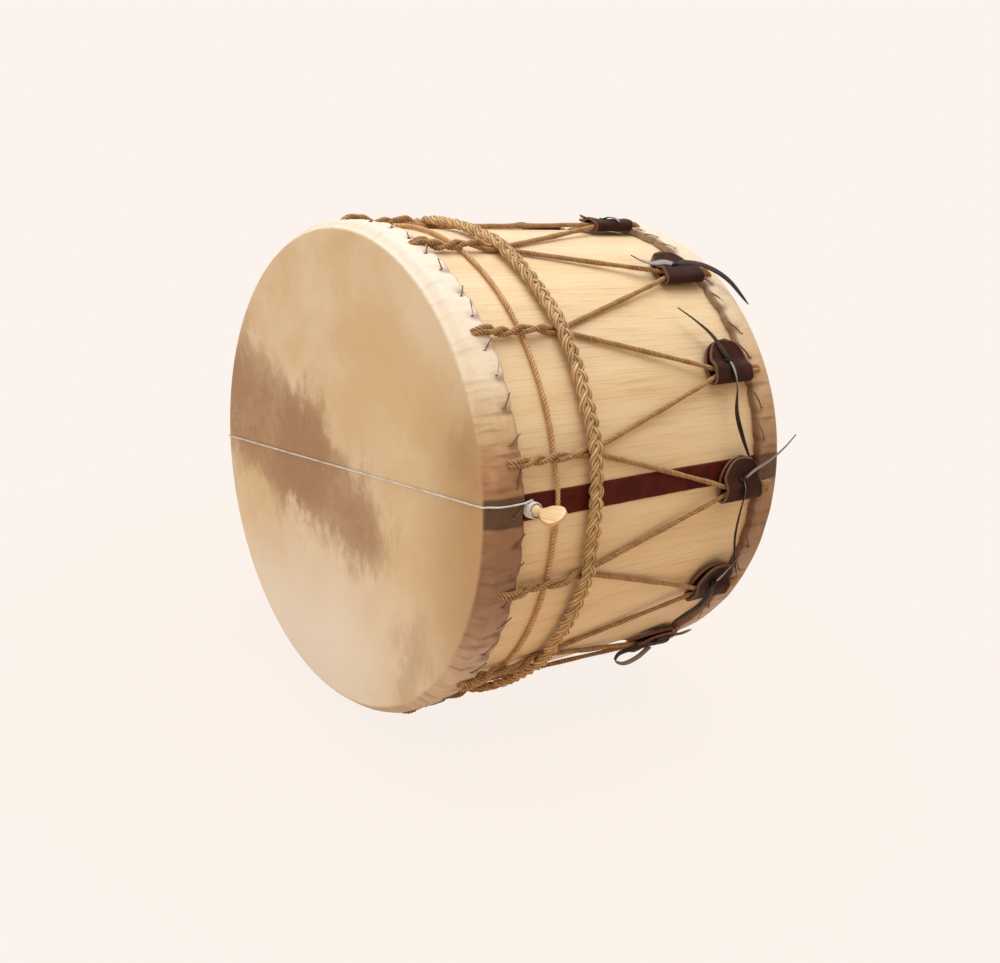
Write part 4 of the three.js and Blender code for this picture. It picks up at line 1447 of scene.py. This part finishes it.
def makePeg():
    curve = smoothPath(peg["sections"], 0.6 / mm)
    lean = radians(peg["turn"])
    wide = Vector((0, -cos(lean), -sin(lean)))
    thin = Vector((0, -sin(lean), cos(lean)))
    grid, edge = [], []
    for x, halfWide, halfThin in curve:
        flat = smoothstep(218, 226, x)
        row, marks = [], []
        for k in range(peg["sides"]):
            turn = k / peg["sides"] * 2 * pi
            a = signedPower(cos(turn), lerp(1, 0.55, flat))
            b = signedPower(sin(turn), lerp(1, 0.3, flat))
            across = wide * a * max(halfWide, 0.3) + thin * b * max(halfThin, 0.3)
            row.append(fromDrum(x, peg["setback"] + across.y, across.z))
            marks.append(flat * smoothstep(0.85, 1.0, max(abs(a), (x - 232) / 10)))
        grid.append(row)
        edge.append(marks)
    mesh = gridMesh("peg_turned", grid, False, True, marks={"edge": edge})
    piece = newObject(tidyMesh(mesh, capEnds=True), pegWood)
    return dress(piece, "peg_wood", "peg", "snare_peg")


# Gut: five turns on the peg, and the snare line across the batter head
gut = {
    "radius": 0.82,
    "lay": 4.0,
    "sides": 10,
    "turns": 5,
    "turnSteps": 48,
    "pitch": 1.8,
    "windingBase": 203.85,
    "windingRadius": 5.45,
    "height": 5.9,
    "lift": 0.95,
}


def gutMesh(name, path, out, strandShare):
    look = {"out": out, "sides": gut["sides"], "strandShare": strandShare}
    return laidRope(name, path, gut["radius"], gut["lay"], 2, **look)


def makeWinding():
    points, outs = [], []
    for k in range(gut["turns"] * gut["turnSteps"] + 1):
        share = k / gut["turnSteps"]
        turn = share * 2 * pi
        x = gut["windingBase"] + share * gut["pitch"]
        y, z = -gut["windingRadius"] * cos(turn), gut["windingRadius"] * sin(turn)
        points.append(fromDrum(x, peg["setback"] + y, z))
        outs.append((points[-1] - fromDrum(x, peg["setback"], 0)).normalized())
    mesh = gutMesh("winding_turns", np.array(points), np.array(outs), 0.97)
    axis = np.array(rollMatrix.to_3x3() @ Vector((1, 0, 0)))
    away = np.array([v.co for v in mesh.vertices]) - np.array(fromDrum(0, peg["setback"], 0))
    away = np.linalg.norm(away - np.outer(away @ axis, axis), axis=1) / mm
    # Painted shade between the gut's turns, next to the peg
    between = np.clip((gut["windingRadius"] + 0.74 - away) / 0.45, 0, 1)
    mesh.attributes["grooveShade"].data.foreach_set("value", between.astype(np.float32))
    return dress(newObject(mesh, gutFibre), "gut", "peg", "snare_winding")


def rimPoints(side):
    over = drum["collarOuter"] + gut["lift"]
    radius, setback = headSizes["edgeCentre"]
    bend = headSizes["edgeRound"] + gut["lift"]
    spots = [(over, drum["collarBack"]), (over, headSizes["flareEnd"] - 1)]
    for k in range(5):
        turn = pi / 2 * (1 - k / 4)
        spots.append((radius + bend * sin(turn), setback - bend * cos(turn)))
    return [fromDrum(side * r, s, gut["height"]) for r, s in spots]


def makeSnare():
    leave = gut["windingBase"] + gut["turns"] * gut["pitch"] / 2
    tangent = gut["height"] + 1.6
    over = drum["collarOuter"] + gut["lift"]
    middle = (drum["collarBack"] + peg["setback"]) / 2
    points = [fromDrum(leave, peg["setback"], tangent)]
    points.append(fromDrum((leave + over) / 2, middle, (tangent + gut["height"]) / 2))
    points += rimPoints(1)
    reach = headSizes["edgeCentre"][0]
    points += [fromDrum(lerp(reach, -reach, k / 12), -gut["lift"], gut["height"]) for k in range(1, 12)]
    points += rimPoints(-1)[::-1]
    for radius in (drum["shellRadius"] + 1.3, drum["shellRadius"] - drum["shellWall"]):
        points.append(fromDrum(-radius, peg["setback"], gut["height"]))
    up = rollMatrix.to_3x3() @ Vector((0, 0, 1))
    mesh = gutMesh("snare_line", smoothPath(points, 1.0), up, 0.85)
    return dress(newObject(mesh, gutFibre), "gut", "drum", "snare_string")


makePeg()
makeWinding()
makeSnare()
print("peg and snare made")

# Hidden pieces keep their solids
for node in ("front_inner_hoop", "rear_inner_hoop", "front_flesh_hoop", "rear_flesh_hoop"):
    setMaterial(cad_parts[node].data, hoopWood)
setMaterial(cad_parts["snare_knot"].data, gutFibre)


# Light and stage
stage = {
    "cream": "#fcf3ec",
    "bounce": "#e6cdb2",
    "fill": (1.0, 0.9, 0.79, 1.0),
    "fillStrength": 0.58,
    "floorSize": 30.0,
    "shadowShare": 0.05,
    "shadowReach": (0.15, 0.6),
}
lamps = {
    "topLamp": {"place": (0.25, 0.15, 2.1), "power": 47.0, "size": 2.2, "tint": (0.88, 1.02, 1.24)},
    "frontLamp": {"place": (0.5, -2.2, 0.9), "power": 15.0, "size": 2.4, "tint": (0.84, 0.94, 1.0)},
}
drumMiddle = fromDrum(0, drum["headToHead"] / 2, 0)


def seenDirectly(tree):
    path = addNode(tree, "ShaderNodeLightPath")
    seen = path["Is Camera Ray"].maths("MAXIMUM", path["Is Glossy Ray"])
    return seen.maths("MAXIMUM", path["Is Transmission Ray"])


def blendShaders(share, first, glowKind, end):
    glow = addNode(share.tree, glowKind, {"Color": colour(stage["cream"]), "Strength": 1.0})[0]
    links = {0: share, 1: wiresOf(share.tree, first)[0], 2: glow}
    addNode(share.tree, "ShaderNodeMixShader", links)[0].into(share.tree.nodes[end].inputs[0])


def makeWorld():
    world = bpy.data.worlds.new("studio")
    bpy.context.scene.world = world
    world.use_nodes = True
    tree = world.node_tree
    plain = tree.nodes["Background"]
    plain.inputs["Color"].default_value = stage["fill"]
    plain.inputs["Strength"].default_value = stage["fillStrength"]
    blendShaders(seenDirectly(tree), plain, "ShaderNodeBackground", "World Output")


def makeFloor():
    low = cadBox[0].z - 0.0002
    half = stage["floorSize"] / 2
    mesh = bpy.data.meshes.new("floor")
    corners = [(-half, -half, low), (half, -half, low), (half, half, low), (-half, half, low)]
    mesh.from_pydata(corners, [], [(0, 1, 2, 3)])
    plain = {"Roughness": 0.9, "Base Color": colour(stage["bounce"])}
    material, tree, shader = newMaterial("floorPaint", plain)
    links = {0: objectPlace(tree), 1: (drumMiddle.x, drumMiddle.y, low)}
    away = addNode(tree, "ShaderNodeVectorMath", links, operation="DISTANCE")["Value"]
    far = away.span(*stage["shadowReach"], 1 - stage["shadowShare"], 1.0)
    blendShaders(seenDirectly(tree) * far, shader, "ShaderNodeEmission", "Material Output")
    newObject(mesh, material)


def makeLamp(name, lamp):
    data = bpy.data.lights.new(name, "AREA")
    data.energy = lamp["power"]
    data.size = lamp["size"]
    data.color = lamp["tint"]
    light = linkedObject(name, data)
    light.location = drumMiddle + rollMatrix.to_3x3() @ Vector(lamp["place"])
    light.rotation_euler = (drumMiddle - light.location).to_track_quat("-Z", "Y").to_euler()


makeWorld()
makeFloor()
for name, lamp in lamps.items():
    makeLamp(name, lamp)
bpy.context.scene.view_settings.view_transform = "Standard"

print("scene done")
